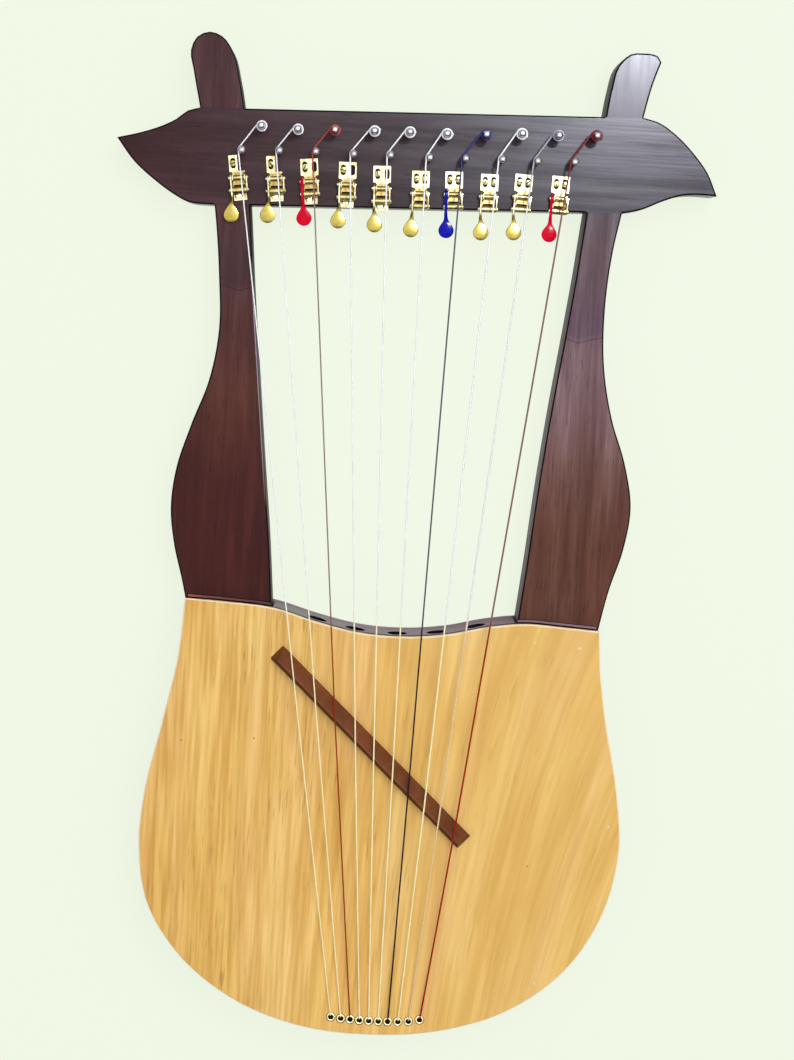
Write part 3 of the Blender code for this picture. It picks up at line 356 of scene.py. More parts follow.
MATERIALS = {
    "ash": ash_material(),
    "ash_bevel": bevel_material(),
    "plug_wood": stained_material("plug_wood", [(-0.2, (0.86, 0.63, 0.30)), (0.2, (0.86, 0.63, 0.30))], contrast=0.2),
    "rosewood": stained_material("rosewood_lacquered", [
        (-0.07, (0.044, 0.0050, 0.0040)), (0.05, (0.048, 0.0065, 0.0055)), (0.10, (0.080, 0.0190, 0.0120)),
        (0.17, (0.070, 0.0205, 0.0195)), (0.34, (0.050, 0.0150, 0.0160))], seam=(-0.118, 0.1705)),
    # On the right arm the light mauve band near y = 0.135 m is a painted reflection.
    "rosewood_right": stained_material("rosewood_lacquered_right", [
        (-0.07, (0.108, 0.034, 0.020)), (0.02, (0.094, 0.029, 0.017)), (0.07, (0.112, 0.043, 0.033)),
        (0.135, (0.180, 0.098, 0.102)), (0.21, (0.112, 0.054, 0.060)), (0.245, (0.045, 0.027, 0.032)),
        (0.34, (0.045, 0.030, 0.034))], seam=(0.117, 0.148)),
    # The arms' side faces grow dark towards the crossbar: painted shade under it.
    "arm_side_left": stained_material("arm_side_left", [(-0.08, (0.050, 0.026, 0.024)), (0.02, (0.085, 0.052, 0.050)),
                                                        (0.14, (0.085, 0.055, 0.055)), (0.17, (0.026, 0.014, 0.014)),
                                                        (0.3, (0.022, 0.012, 0.012))],
                                      roughness=(0.3, 0.4), specular=0.006),
    # Painted highlight: a light line for the glint along the left arm's inner rounded edge.
    "worn_edge": stained_material("worn_edge", [(0.025, (0.045, 0.022, 0.022)), (0.06, (0.300, 0.235, 0.250)),
                                                (0.16, (0.330, 0.270, 0.285)), (0.19, (0.060, 0.035, 0.036))],
                                  contrast=0.3),
    "arm_side_right": stained_material("arm_side_right", [(-0.1, (0.110, 0.060, 0.085)), (0.15, (0.090, 0.050, 0.070)),
                                                          (0.26, (0.020, 0.014, 0.015))],
                                       roughness=(0.3, 0.4), specular=0.033),
    # The end wall's pale grey-mauve tone is a painted reflection of the floor it faces at a grazing angle.
    "wall": stained_material("rosewood_wall", [(-0.1, (0.290, 0.250, 0.240)), (0.08, (0.290, 0.200, 0.220))], "X", 90.0,
                             roughness=(0.5, 0.62), specular=0.08, contrast=0.3),
    "stained_wood": stained_material("crossbar_lacquered", [
        (-0.20, (0.034, 0.0055, 0.0070)), (-0.14, (0.036, 0.0090, 0.0120)), (-0.05, (0.031, 0.0120, 0.0135)),
        (0.04, (0.028, 0.0165, 0.0190)), (0.20, (0.024, 0.0130, 0.0220))], "X", 90.0, specular=0.127),
    # Painted shade: near-black finish for rounded edges, shade gaps, the insides of holes and the sheets under the
    # brackets.
    "edge_stain": stained_material("edge_stain", [(-0.2, (0.0075, 0.0040, 0.0045)), (0.2, (0.0085, 0.0050, 0.0060))],
                                   "X", roughness=(0.3, 0.45), specular=0.03),
    "bridge_wood": stained_material("bridge_oiled", [(-0.1, (0.185, 0.052, 0.014)), (0.1, (0.165, 0.046, 0.013))],
                                    "X", 47.0, roughness=(0.42, 0.55), specular=0.1, contrast=0.5),
    # Painted shade: the bridge's side towards the tail, which faces away from the light, is darker.
    "bridge_shade": stained_material("bridge_tail_side", [(-0.1, (0.070, 0.016, 0.006)), (0.1, (0.070, 0.016, 0.006))],
                                     "X", 47.0, roughness=(0.42, 0.55), specular=0.1, contrast=0.3),
    # Painted highlight: a lighter line along the bridge's crest.
    "bridge_crest": stained_material("bridge_worn_crest", [(-0.1, (0.215, 0.062, 0.021)), (0.1, (0.215, 0.062, 0.021))],
                                     "X", 47.0, roughness=(0.6, 0.7), specular=0.03, contrast=0.3),
    "trim": stained_material("shoulder_trim", [(-0.145, (0.60, 0.170, 0.090)), (-0.120, (0.24, 0.080, 0.060)),
                                               (-0.085, (0.14, 0.060, 0.055)), (0.085, (0.36, 0.215, 0.205)),
                                               (0.145, (0.40, 0.250, 0.250))], "X", 90.0, contrast=0.3),
    "inner_wood": stained_material("inner_hardwood", [(-0.2, (0.52, 0.36, 0.20)), (0.2, (0.56, 0.39, 0.22))], "X", 90.0,
                                   roughness=(0.6, 0.75), contrast=0.3),
    "block_wood": stained_material("block_hardwood", [(-0.2, (0.050, 0.030, 0.016)), (0.2, (0.052, 0.032, 0.018))],
                                   "X", 90.0, roughness=(0.6, 0.75), specular=0.05),
    "brass": metal_material("polished_brass", (0.76, 0.70, 0.50), 0.15, (0.50, 0.46, 0.32)),
    "bar_brass": metal_material("turned_brass", (0.60, 0.50, 0.25), 0.12, (0.66, 0.60, 0.48)),
    # Darker brass between a bracket's cheeks: tarnish and painted shade.
    "shaded_brass": metal_material("tarnished_brass", (0.30, 0.22, 0.09), 0.22, (0.70, 0.64, 0.50), 1400.0),
    # Painted shade: near-black brass for screw slots and sides and the foot of each eyelet.
    "slot_brass": metal_material("grimy_brass", (0.045, 0.032, 0.015), 0.45, (0.6, 0.6, 0.6)),
    "screw_brass": metal_material("dulled_brass", (0.36, 0.31, 0.13), 0.2, (0.5, 0.5, 0.45)),
    "eyelet_brass": metal_material("rolled_brass", (0.96, 0.84, 0.53), 0.42, (0.85, 0.80, 0.65), 1400.0),
    "matte_brass": metal_material("brushed_brass", (0.33, 0.262, 0.066), 0.17, (0.76, 0.74, 0.70), 1400.0),
    "plated_steel": metal_material("nickel_plate", (0.66, 0.61, 0.72), 0.08, (0.80, 0.80, 0.83)),
    "white_string": nylon_material("nylon_white", (1.0, 0.91, 0.50), (0.92, 0.94, 0.88), (0.96, 0.95, 0.95)),
    "clear_string": nylon_material("nylon_clear", (0.82, 0.60, 0.30), (0.84, 0.86, 0.78), (0.34, 0.33, 0.38)),
    "red_string": nylon_material("nylon_red", (0.30, 0.026, 0.003), (0.27, 0.19, 0.145), (0.42, 0.050, 0.030), 0.15),
    "dark_red_string": nylon_material("nylon_dark_red", (0.34, 0.012, 0.001), (0.23, 0.115, 0.085),
                                      (0.20, 0.010, 0.014), 0.15),
    "blue_string": nylon_material("nylon_blue", (0.012, 0.004, 0.020), (0.085, 0.098, 0.115), (0.020, 0.028, 0.170),
                                  0.15),
    "red_lever": enamel_material("enamel_red", (0.70, 0.0, 0.020)),
    "blue_lever": enamel_material("enamel_blue", (0.006, 0.006, 0.36)),
}


def finish_frame_nodes():
    """Give every node of the frame the finish of its slot."""
    for entry in frame["record"]["subparts"]:
        mesh = NODES[entry["node"]].data
        mesh.materials.clear()
        mesh.materials.append(MATERIALS["block_wood" if entry["node"] == "string_block" else entry["material_slot"]])


# Sizes of the instrument, in millimetres

GLUE = 0.06           # hairline between two glued pieces
FLUSH = 0.02          # the same where their faces are sanded flush
BODY_DEPTH = 44.0
ARM_DEPTH = 32.0
BOARD_THICK = 3.0
BACK_THICK = 3.2
WALL_THICK = 5.0
OVERHANG = 0.8        # soundboard and back stand this far proud of rim and end wall
SEAT = 0.3            # gap that the frame keeps between pieces
LAP_HEIGHT = 16.0     # where crossbar and arms are halved into each other
TRIM_NEAR, TRIM_FAR = 0.0, 1.4     # trim on the arms, from the soundboard's outline
TRIM_LOW, TRIM_HIGH = 0.3, 1.2     # dark bed of painted shade under it and its top, above the arms
TRIM_BED = 1.75
SHADED_FROM = 31.5    # the end wall is painted in shade above this, under the soundboard's overhanging edge
BOARD_LOW = BODY_DEPTH - BOARD_THICK
INSIDE_LOW = BACK_THICK + GLUE
INSIDE_HIGH = BOARD_LOW - GLUE

WOOD_STEP = 4.0       # between points along a wooden outline
ROUND_STEPS = 4       # across a rounded edge
FLAT_BAND = 0.15      # flat strip beside a rounded edge
EDGE_ROUND = 1.1
CORNER_EASE = 0.02    # how much rounding is left where two planks lie flush

# Plan of the soundbox: its sides from the left shoulder round the tail to the right shoulder,
# and the S-shaped upper edge from left to right
BODY_SIDE = [(-144, -42.5), (-146.8, -82), (-156, -131), (-165.6, -178), (-168.2, -216),
             (-160.5, -259.5), (-138.2, -294), (-96, -326.5), (-48, -343.2), (0, -347),
             (50, -341.8), (95.8, -325.5), (134, -295.5), (159, -254), (168.6, -206),
             (163.5, -160), (154, -118), (147.2, -80), (144.3, -50.2)]
SHOULDER = [(-144, -42.5), (-112, -43.7), (-84, -45.8), (-52, -54.2), (-22, -60.2),
            (10, -61.3), (38, -58.2), (68, -51.2), (92, -47.9), (119, -48.8), (144.3, -50.2)]

# Arms: one smooth run from the inner shoulder up over the horn and down the outer edge
LEFT_ARM = [(-83.8, -52), (-88.6, 0), (-94.6, 52), (-101.6, 115), (-107.4, 168), (-113.1, 228),
            (-120.5, 294.4), (-124.6, 314), (-130, 331.5), (-137.4, 340.6), (-146, 343.3),
            (-154.6, 339.3), (-158.3, 330.5), (-155.8, 317), (-150.3, 292.4), (-137.2, 226.7),
            (-132, 180), (-130.2, 143.4), (-135.4, 108), (-146.4, 76), (-155.2, 45), (-157.5, 18),
            (-153.8, -8), (-147.6, -31)]
RIGHT_ARM = [(87.1, -54.5), (91.4, -9.3), (96.4, 50), (101.6, 100), (108.4, 156), (112.6, 192),
             (117, 236.5), (125.5, 302.3), (128.2, 322), (132, 337), (140, 345.2), (152.2, 346.4)]
RIGHT_HORN_CORNER = [(152.2, 346.4), (158.6, 345), (161.2, 341)]
RIGHT_ARM_BACK = [(161.2, 341), (156.9, 327.7), (151.7, 304.2), (141.3, 238.3), (136.8, 211),
                  (134.1, 168), (136.1, 133.2), (144.2, 96.3), (155.2, 66), (161.4, 36),
                  (158.2, 6), (150.4, -22)]
HEEL_END = -112.0     # how far the arms run down inside the soundbox
HEEL_TAPER = 11.0

# Crossbar: swept fins at both ends, straight edges between them
LEFT_FIN_TOP = [(-205.6, 269.2), (-190, 273.4), (-175, 279), (-165.9, 283.9), (-158.6, 289.8),
                (-150, 292.4)]
RIGHT_FIN_TOP = [(151.8, 303.2), (162, 300.8), (175, 292.8), (188.4, 280.4), (198, 268.7),
                 (205.5, 253.2)]
RIGHT_FIN_BASE = [(205.5, 253.2), (194, 253.5), (182, 252.4), (168.8, 247.8), (153, 240.6),
                  (141.3, 238)]
LEFT_FIN_BASE = [(-138.4, 227.6), (-156.1, 228.6), (-166, 233.4), (-179, 242), (-193, 253.5),
                 (-205.6, 269.2)]

# Soundbox fittings
SOUND_HOLES_X = (-52.3, -25.0, 4.5, 32.0, 58.9)
SOUND_HOLE_R = 6.9
ACCESS_R = 30.0
ACCESS_AT = (3.0, -282.0)
BOARD_HOLE_R = 2.7
EYELET_HOLE = 1.75

# Plugs over the soundboard's nails
PLUGS = [(159.5, -188.0), (155.8, -244.1), (114.9, -303.2), (99.7, -60.4), (131.0, -62.5)]
PINHOLES = [(-141.8, -142.2), (-91.3, -138.1), (104.5, -219.0)]
PLUG_R, PINHOLE_R = 1.1, 0.45

# Bridge, glued across the soundboard on a slant
BRIDGE_ENDS = ((-78.6, -76.4), (59.2, -204.0))
BRIDGE_TAIL_EDGE = -6.2   # across the bridge, from its middle line
BRIDGE_CREST = -2.6
BRIDGE_NECK_EDGE = 6.2
BRIDGE_HEIGHT = 10.0
BRIDGE_LIP = 3.4
BRIDGE_NIP = 3.5          # how much the ends slope in

# Pins and strings, from string 1 on the left to string 10 on the right
GUIDE_FOOT, GUIDE_TOP = ARM_DEPTH - 4.0, 50.7
GUIDE_NECK_R, GUIDE_R = 2.1, 2.6
NOTCHES = (-0.3, -1.1, -1.4, -0.8, -0.5, 0.2, 0.1, 0.3, 0.0, 0.3)     # where each crosses the bridge, sideways
WINDING_EASE = 0.3        # how loosely the turns lie round the tuning pins
STRING_D = (0.90, 0.92, 0.96, 1.00, 1.04, 1.08, 1.12, 1.16, 1.20, 1.25)
WINDINGS = (2.5, 2.42, 2.5, 2.25, 2.33, 2.33, 2.5, 2.42, 2.33, 2.42)     # turns round each tuning pin
TAILS = (1.6, 1.6, 1.6, 1.9, 1.6, 2.2, 1.6, 1.6, 1.6, 1.6)
GUIDES = [(-119.6, 264.8), (-94.2, 265.8), (-69.7, 266.6), (-44.1, 266.5), (-19.2, 267.2),
          (7.3, 267.1), (31.6, 267.9), (56.4, 268.9), (80.3, 269.1), (105.4, 269.9)]
STRING_HIGH = 47.3        # height of the string's middle at its guide pin
PIN_R = 2.5
PIN_FOOT, PIN_TOP = 12.0, 58.0
PIN_SQUARE_LOW, PIN_SQUARE = 53.1, 4.3

# Levers, in their own axes: x across, y along the string, z up from the crossbar's face, pivot at x = y = 0
PIVOT_HIGH = 4.0
CRANK = 8.4
AXLE_R, ROLLER_R, RIVET_R = 1.7, 2.4, 1.5
SHEET_LOW, SHEET_HIGH = 0.1, 1.1
PLATE_RISE = 0.25     # the mounting plate stands this far above the floor's sheet
PLATE_X, NARROW_X = (-6.1, 6.1), (-6.0, 0.1)
PLATE_Y = (4.0, 15.5)
CHEEKS = ((-4.3, -3.6), (3.9, 4.6))
CHEEK_HALF, CHEEK_SHOULDER, CHEEK_TOP = 3.2, 5.3, 7.0
BASE_END_LONG, BASE_END_SHORT = -15.4, -8.8
WINDOW_Y = (-5.9, -4.7)
SHADE_Y = (-11.6, PLATE_Y[0] - 0.4)     # unpolished and painted in shade between these
LONG_BASE = 5         # levers 1 to 5 have the long base
NARROW_PLATE = 2      # levers 1 and 2 have the narrow mounting plate
SLOT_LEFT, SLOT_RIGHT_LONG, SLOT_RIGHT_SHORT = (-3.0, 10.0), (3.4, 10.0), (2.8, 10.0)
SLOT_R, SLOT_REACH = 1.75, 1.85
TAIL_HOLE, TAIL_HOLE_R, TAIL_HOLE_REACH = (-1.1, -11.6), 2.75, 0.2
TAIL_SCREW = (-1.1, -12.6)
STEM_X, LINK_X = (-6.0, -4.6), (4.9, 5.8)
LINK_AXLE_R, LINK_ROLLER_R = 2.45, 2.0
PADDLE_TOP = -13.0     # the stem is polished down to here
PADDLE_X = (-7.0, -6.8, -5.1, -5.7, -4.8, -6.0, -4.9, -4.4, -3.9, -5.2)
PAINTED = {2: "red_lever", 6: "blue_lever", 9: "red_lever"}

# Stem and paddle: y, how far towards the paddle's own middle line, half width, half thickness,
# turn of the section in eighths of a circle
STEM = [(2.8, 0.0, 0.35, 0.5, 2), (2.65, 0.0, 1.0, 0.62, 2), (2.25, 0.0, 1.7, 0.7, 2), (1.5, 0.0, 2.35, 0.7, 2),
        (0.4, 0.0, 2.75, 0.7, 2), (-1.5, 0.0, 2.65, 0.7, 2), (-4.0, 0.0, 2.3, 0.7, 2), (-8.4, 0.0, 2.15, 0.7, 2),
        (-9.8, 0.0, 1.95, 0.7, 2), (-12.2, 0.05, 1.6, 0.66, 1.85), (-14.4, 0.2, 1.1, 0.6, 1.2),
        (-16.6, 0.5, 1.35, 0.6, 0.4), (-18.4, 0.8, 2.05, 0.6, 0), (-20.0, 0.92, 3.2, 0.6, 0),
        (-21.6, 1.0, 4.25, 0.6, 0), (-23.2, 1.0, 5.0, 0.6, 0), (-24.8, 1.0, 5.25, 0.6, 0),
        (-26.4, 1.0, 4.9, 0.6, 0), (-27.9, 1.0, 4.0, 0.58, 0), (-28.9, 1.0, 2.9, 0.5, 0),
        (-29.5, 1.0, 1.7, 0.4, 0), (-29.72, 1.0, 0.8, 0.3, 0)]


# Curves and outlines in plan

def smooth_run(points, spacing):
    """Points on a smooth curve through the given ones, about one spacing apart."""
    pts = [Vector(p) for p in points]
    ends = [2 * pts[0] - pts[1]] + pts + [2 * pts[-1] - pts[-2]]
    run = []
    for before, start, end, after in zip(ends, ends[1:], ends[2:], ends[3:]):
        span = (end - start).length
        back, ahead = (start - before).length, (after - end).length
        leave = ((end - start) / span * back + (start - before) / back * span) / (back + span)
        arrive = ((after - end) / ahead * span + (end - start) / span * ahead) / (span + ahead)
        steps = max(1, round(span / spacing))
        for k in range(steps):
            t = k / steps
            run.append((2 * t**3 - 3 * t**2 + 1) * start + (t**3 - 2 * t**2 + t) * span * leave
                       + (3 * t**2 - 2 * t**3) * end + (t**3 - t**2) * span * arrive)
    return run + [pts[-1]]


def outline(*runs, spacing=WOOD_STEP):
    """One closed outline of smooth runs that meet at corners."""
    ring = []
    for run in runs:
        for point in smooth_run(run, spacing):
            if not ring or (point - ring[-1]).length > 0.05:
                ring.append(point)
    if (ring[0] - ring[-1]).length < 0.05:
        ring.pop()
    return ring


def filled(ring, spacing):
    """The outline with points added along its long straight edges."""
    full = []
    for a, b in zip(ring, ring[1:] + ring[:1]):
        count = max(1, round((b - a).length / spacing))
        full += [a.lerp(b, k / count) for k in range(count)]
    return full


def area(ring):
    return sum(a.x * b.y - b.x * a.y for a, b in zip(ring, ring[1:] + ring[:1])) / 2


def offset(ring, distances):
    """The outline moved outwards at each point, or inwards by a negative distance."""
    side = 1 if area(ring) > 0 else -1
    moved = []
    for before, here, after, distance in zip(ring[-1:] + ring, ring, ring[1:] + ring[:1], distances):
        a, b = (here - before).normalized(), (after - here).normalized()
        normal = Vector((a.y + b.y, -a.x - b.x)) * side
        normal.normalize()
        turn = max(0.45, normal.dot(Vector((a.y, -a.x)) * side))
        moved.append(here + normal * (distance / turn))
    return moved


def widened(ring, distance):
    return offset(ring, [distance] * len(ring))


def offset_path(path, distance):
    """An open path moved to its left by a distance."""
    moved = []
    for i, here in enumerate(path):
        along = (path[min(i + 1, len(path) - 1)] - path[max(i - 1, 0)]).normalized()
        moved.append(here + Vector((-along.y, along.x)) * distance)
    return moved


def inside(point, ring):
    """Whether a point lies within a closed outline."""
    within = False
    for a, b in zip(ring, ring[1:] + ring[:1]):
        if (a.y > point.y) != (b.y > point.y) and point.x < a.x + (point.y - a.y) / (b.y - a.y) * (b.x - a.x):
            within = not within
    return within


# Meshes

def new_piece(name, bm, mat, sharp=35.0):
    """A mesh object from a bmesh in millimetres, smooth except at its sharp edges."""
    bmesh.ops.recalc_face_normals(bm, faces=bm.faces)
    mesh = bpy.data.meshes.new(name)
    bm.to_mesh(mesh)
    bm.free()
    mesh.transform(Matrix.Scale(MM, 4))
    if mat:
        mesh.materials.append(mat)
    obj = bpy.data.objects.new(name, mesh)
    bpy.context.scene.collection.objects.link(obj)
    soften(obj, sharp)
    return obj


def soften(obj, sharp=35.0):
    obj.data.shade_smooth()
    obj.data.set_sharp_from_angle(angle=math.radians(sharp))


def stack(bm, rings):
    """Skin a stack of rings with equal point counts and cap both ends."""
    loops = [[bm.verts.new(p) for p in ring] for ring in rings]
    for low, high in zip(loops, loops[1:]):
        for i in range(len(low)):
            j = (i + 1) % len(low)
            bm.faces.new((low[i], low[j], high[j], high[i]))
    bm.faces.new(loops[0])
    bm.faces.new(loops[-1])


def at_height(ring, z):
    return [(p.x, p.y, z) for p in ring]


def slab(ring, low, high, name="tool", mat=None):
    bm = bmesh.new()
    stack(bm, [at_height(ring, low), at_height(ring, high)])
    return new_piece(name, bm, mat)


def plank(name, ring, low, high, mat, top=EDGE_ROUND, under=EDGE_ROUND, ease=None):
    """A board with rounded edges; ease scales the rounding at each point of the outline."""
    ease = ease or [1.0] * len(ring)
    turns = [math.pi / 2 * k / ROUND_STEPS for k in range(ROUND_STEPS + 1)]
    levels = [(under + FLAT_BAND, low, 0.0)]
    levels += [(under * (1 - math.sin(t)), low, under * (1 - math.cos(t))) for t in turns]
    levels += [(top * (1 - math.cos(t)), high, -top * (1 - math.sin(t))) for t in turns]
    levels.append((top + FLAT_BAND, high, 0.0))
    bm = bmesh.new()
    stack(bm, [[(p.x, p.y, base + rise * e) for p, e in zip(offset(ring, [-inset * e for e in ease]), ease)]
               for inset, base, rise in levels])
    return new_piece(name, bm, mat)


def turned(bm, profile, sides, centre=(0.0, 0.0)):
    """Turn a (radius, z) profile about a vertical line, open at both ends; a radius of 0 closes one."""
    loops = []
    for radius, z in profile:
        count = sides if radius else 1
        loops.append([bm.verts.new((centre[0] + radius * math.cos(2 * math.pi * k / sides),
                                    centre[1] + radius * math.sin(2 * math.pi * k / sides), z))
                      for k in range(count)])
    for low, high in zip(loops, loops[1:]):
        for i in range(sides):
            j = (i + 1) % sides
            corners = [low[i % len(low)], low[j % len(low)], high[j % len(high)], high[i % len(high)]]
            bm.faces.new(list(dict.fromkeys(corners)))
    return loops


def peg(bm, profile, sides, centre=(0.0, 0.0)):
    """A turned solid with flat ends."""
    loops = turned(bm, profile, sides, centre)
    for end in (loops[0], loops[-1]):
        if len(end) > 2:
            bm.faces.new(end)


def tool(build, *args):
    """A solid that cuts or adds, made by a function that fills a bmesh."""
    bm = bmesh.new()
    build(bm, *args)
    return new_piece("tool", bm, None)


def boolean(obj, other, how="DIFFERENCE"):
    """Cut, or add, another solid and keep the result as this object's own mesh."""
    step = obj.modifiers.new(how, "BOOLEAN")
    step.operation = how
    step.solver = "EXACT"
    step.object = other
    keep_result(obj)
    bpy.data.objects.remove(other, do_unlink=True)
    soften(obj)


def keep_result(obj):
    """Replace an object's mesh by what its modifiers make of it, and drop the modifiers."""
    graph = bpy.context.evaluated_depsgraph_get()
    result = bpy.data.meshes.new_from_object(obj.evaluated_get(graph))
    old = obj.data
    obj.modifiers.clear()
    obj.data = result
    result.name = obj.name
    if old.users == 0:
        bpy.data.meshes.remove(old)


# Where the frame has its pieces

SLOT_OF = {entry["node"]: entry["material_slot"] for entry in frame["record"]["subparts"]}
JOINTS = {joint["name"]: joint for joint in frame["joints"]}


def stand_for(piece, node, body="harp"):
    """The piece rides with the node's body and is shown instead of it."""
    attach(piece, body)
    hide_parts(node)
    return piece


def pin_at(i):
    return Vector(JOINTS[f"tuning_pin_{i + 1}_turn"]["pos_m"][:2]) / MM


def guide_at(i):
    return Vector(GUIDES[i])


def eyelet_at(i):
    low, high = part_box(f"eyelet_{i + 1}")
    return Vector(((low[0] + high[0]) / 2, (low[1] + high[1]) / 2)) / MM


# Wooden pieces

def body_outline():
    return outline(list(reversed(SHOULDER)), BODY_SIDE)


def crossbar_outline():
    return outline(LEFT_FIN_TOP, RIGHT_FIN_TOP, RIGHT_FIN_BASE, LEFT_FIN_BASE)


def rim_top(side):
    """Where the rim ends under the shoulder, just below the end wall."""
    corner = BODY_SIDE[0] if side < 0 else BODY_SIDE[-1]
    return corner[1] - OVERHANG - WALL_THICK - 3 * SEAT


def heel(side):
    """The foot of an arm inside the soundbox, beside the rim: outer edge first."""
    low_limit = HEEL_END + 2
    wall = [p for p in widened(body_outline(), -(OVERHANG + WALL_THICK + SEAT))
            if low_limit < p.y < rim_top(side) and p.x * side > 100]
    wall.sort(key=lambda p: -p.y)
    first = wall[0] + (wall[0] - wall[1]) * ((rim_top(side) - wall[0].y) / (wall[0].y - wall[1].y))
    inner = Vector((LEFT_ARM if side < 0 else RIGHT_ARM)[0])
    foot = Vector((wall[-1].x, HEEL_END))
    return [first] + wall + [foot, Vector((inner.x + side * HEEL_TAPER, HEEL_END)), inner]


def arm_outlines():
    left_end = (BODY_SIDE[0][0] + OVERHANG, rim_top(-1))
    right_end = (BODY_SIDE[-1][0] - OVERHANG, rim_top(1))
    left = outline(LEFT_ARM + [left_end]) + heel(-1)[:-1]
    right = outline(RIGHT_ARM, RIGHT_HORN_CORNER, RIGHT_ARM_BACK + [right_end]) + heel(1)[:-1]
    return left, right


def wall_line(distance):
    return offset_path(smooth_run(SHOULDER, WOOD_STEP), -distance)


def chosen_faces(obj, mat, chosen):
    """Give another finish to the faces that a test of centre and normal picks."""
    obj.data.materials.append(mat)
    for face in obj.data.polygons:
        if chosen(face.center / MM, face.normal):
            face.material_index = len(obj.data.materials) - 1


def shade_the_edges(obj, low=0.0, high=ARM_DEPTH, least=0.2):
    """Paint shade on the rounded edges: faces that lean outwards close to the upper and lower face get the near-black
    painted shade.
    """
    obj.data.materials.append(MATERIALS["edge_stain"])
    for face in obj.data.polygons:
        z = face.center.z / MM
        rounded_edge = z < low + EDGE_ROUND or high - EDGE_ROUND < z < high
        if rounded_edge and 0.05 < abs(face.normal.z) < 0.985 and face.area > least * MM * MM:
            face.material_index = 1


def make_arm(name, node, ring, mat):
    """A plank with its horn above the crossbar and its thicker heel in the soundbox."""
    arm = plank(name, ring, 0.0, ARM_DEPTH, mat)
    line = wall_line(OVERHANG + WALL_THICK + GLUE)
    beyond = [Vector((-260, line[0].y))] + line + [Vector((260, line[-1].y)), Vector((260, 400)), Vector((-260, 400))]
    block = slab(widened(ring, -0.2), ARM_DEPTH - 6, INSIDE_HIGH)
    boolean(block, slab(beyond, ARM_DEPTH - 10, INSIDE_HIGH + 5))
    boolean(arm, block, "UNION")
    boolean(arm, slab(widened(body_outline(), GLUE), -5, INSIDE_LOW))
    boolean(arm, slab(widened(crossbar_outline(), FLUSH), LAP_HEIGHT - GLUE, ARM_DEPTH + 5))
    shade_the_edges(arm)
    chosen_faces(arm, MATERIALS[f"arm_side_{node.split('_')[0]}"], lambda at, normal: abs(normal.z) < 0.1)
    # Painted highlight along the left arm's inner top edge.
    if node == "left_arm":
        chosen_faces(arm, MATERIALS["worn_edge"], lambda at, normal: at.z > ARM_DEPTH - EDGE_ROUND
                     and normal.x > 0.1 and 0.7 < normal.z < 0.985 and 25 < at.y < 190)
    return stand_for(arm, node)


def make_crossbar(arms, mat):
    """Crossbar, halved over both arms and bored for the tuning pins; flush edges stay sharp."""
    ring = filled(crossbar_outline(), 1.5)
    ease = [CORNER_EASE if any(inside(p, arm) for arm in arms) else 1.0 for p in ring]
    bar = plank("crossbar_plank", ring, 0.0, ARM_DEPTH, mat, ease=ease)
    shade_the_edges(bar)
    for arm in arms:
        boolean(bar, slab(widened(arm, GLUE), -5, LAP_HEIGHT + GLUE))
    bore, countersink = PIN_R + 0.12, PIN_R + 0.5

    def bores(bm):
        for i in range(COUNT):
            peg(bm, [(bore, 11.6), (bore, ARM_DEPTH - 0.4), (countersink, ARM_DEPTH), (countersink, ARM_DEPTH + 2)],
                28, pin_at(i))
    boolean(bar, tool(bores))
    return stand_for(bar, "crossbar")


def make_soundboard(mat):
    board = plank("soundboard_panel", body_outline(), BOARD_LOW, BODY_DEPTH, mat, top=1.3, under=0.15)
    board.data.materials.append(MATERIALS["ash_bevel"])
    for face in board.data.polygons:
        tilt = face.normal.z
        if BOARD_LOW + 0.4 < face.center.z / MM and 0.02 < tilt < 0.98:
            face.material_index = 1

    def holes(bm):
        for i in range(COUNT):
            peg(bm, [(BOARD_HOLE_R, BOARD_LOW - 1), (BOARD_HOLE_R, BODY_DEPTH + 1)], 24, eyelet_at(i))
    boolean(board, tool(holes))
    return stand_for(board, "soundboard")


def make_back(mat):
    back = plank("back_panel", body_outline(), 0.0, BACK_THICK, mat, top=0.15, under=1.0)
    rim = 1.0
    boolean(back, tool(peg, [(ACCESS_R + rim, -1), (ACCESS_R + rim, 0), (ACCESS_R, rim), (ACCESS_R, BACK_THICK + 1)],
                       64, ACCESS_AT))
    chosen_faces(back, MATERIALS["wall"], lambda at, normal: normal.z > -0.5)
    return stand_for(back, "back")


def make_rim(mat):
    """One bent strip from shoulder to shoulder round the tail."""
    path = smooth_run(BODY_SIDE, WOOD_STEP)
    outer, inner = offset_path(path, OVERHANG), offset_path(path, OVERHANG + WALL_THICK)
    keep = [i for i, p in enumerate(path) if p.y < rim_top(-1 if p.x < 0 else 1)]
    ring = [outer[i] for i in keep] + [inner[i] for i in reversed(keep)]
    return stand_for(slab(ring, INSIDE_LOW, INSIDE_HIGH, "rim_strip", mat), "side_rim")


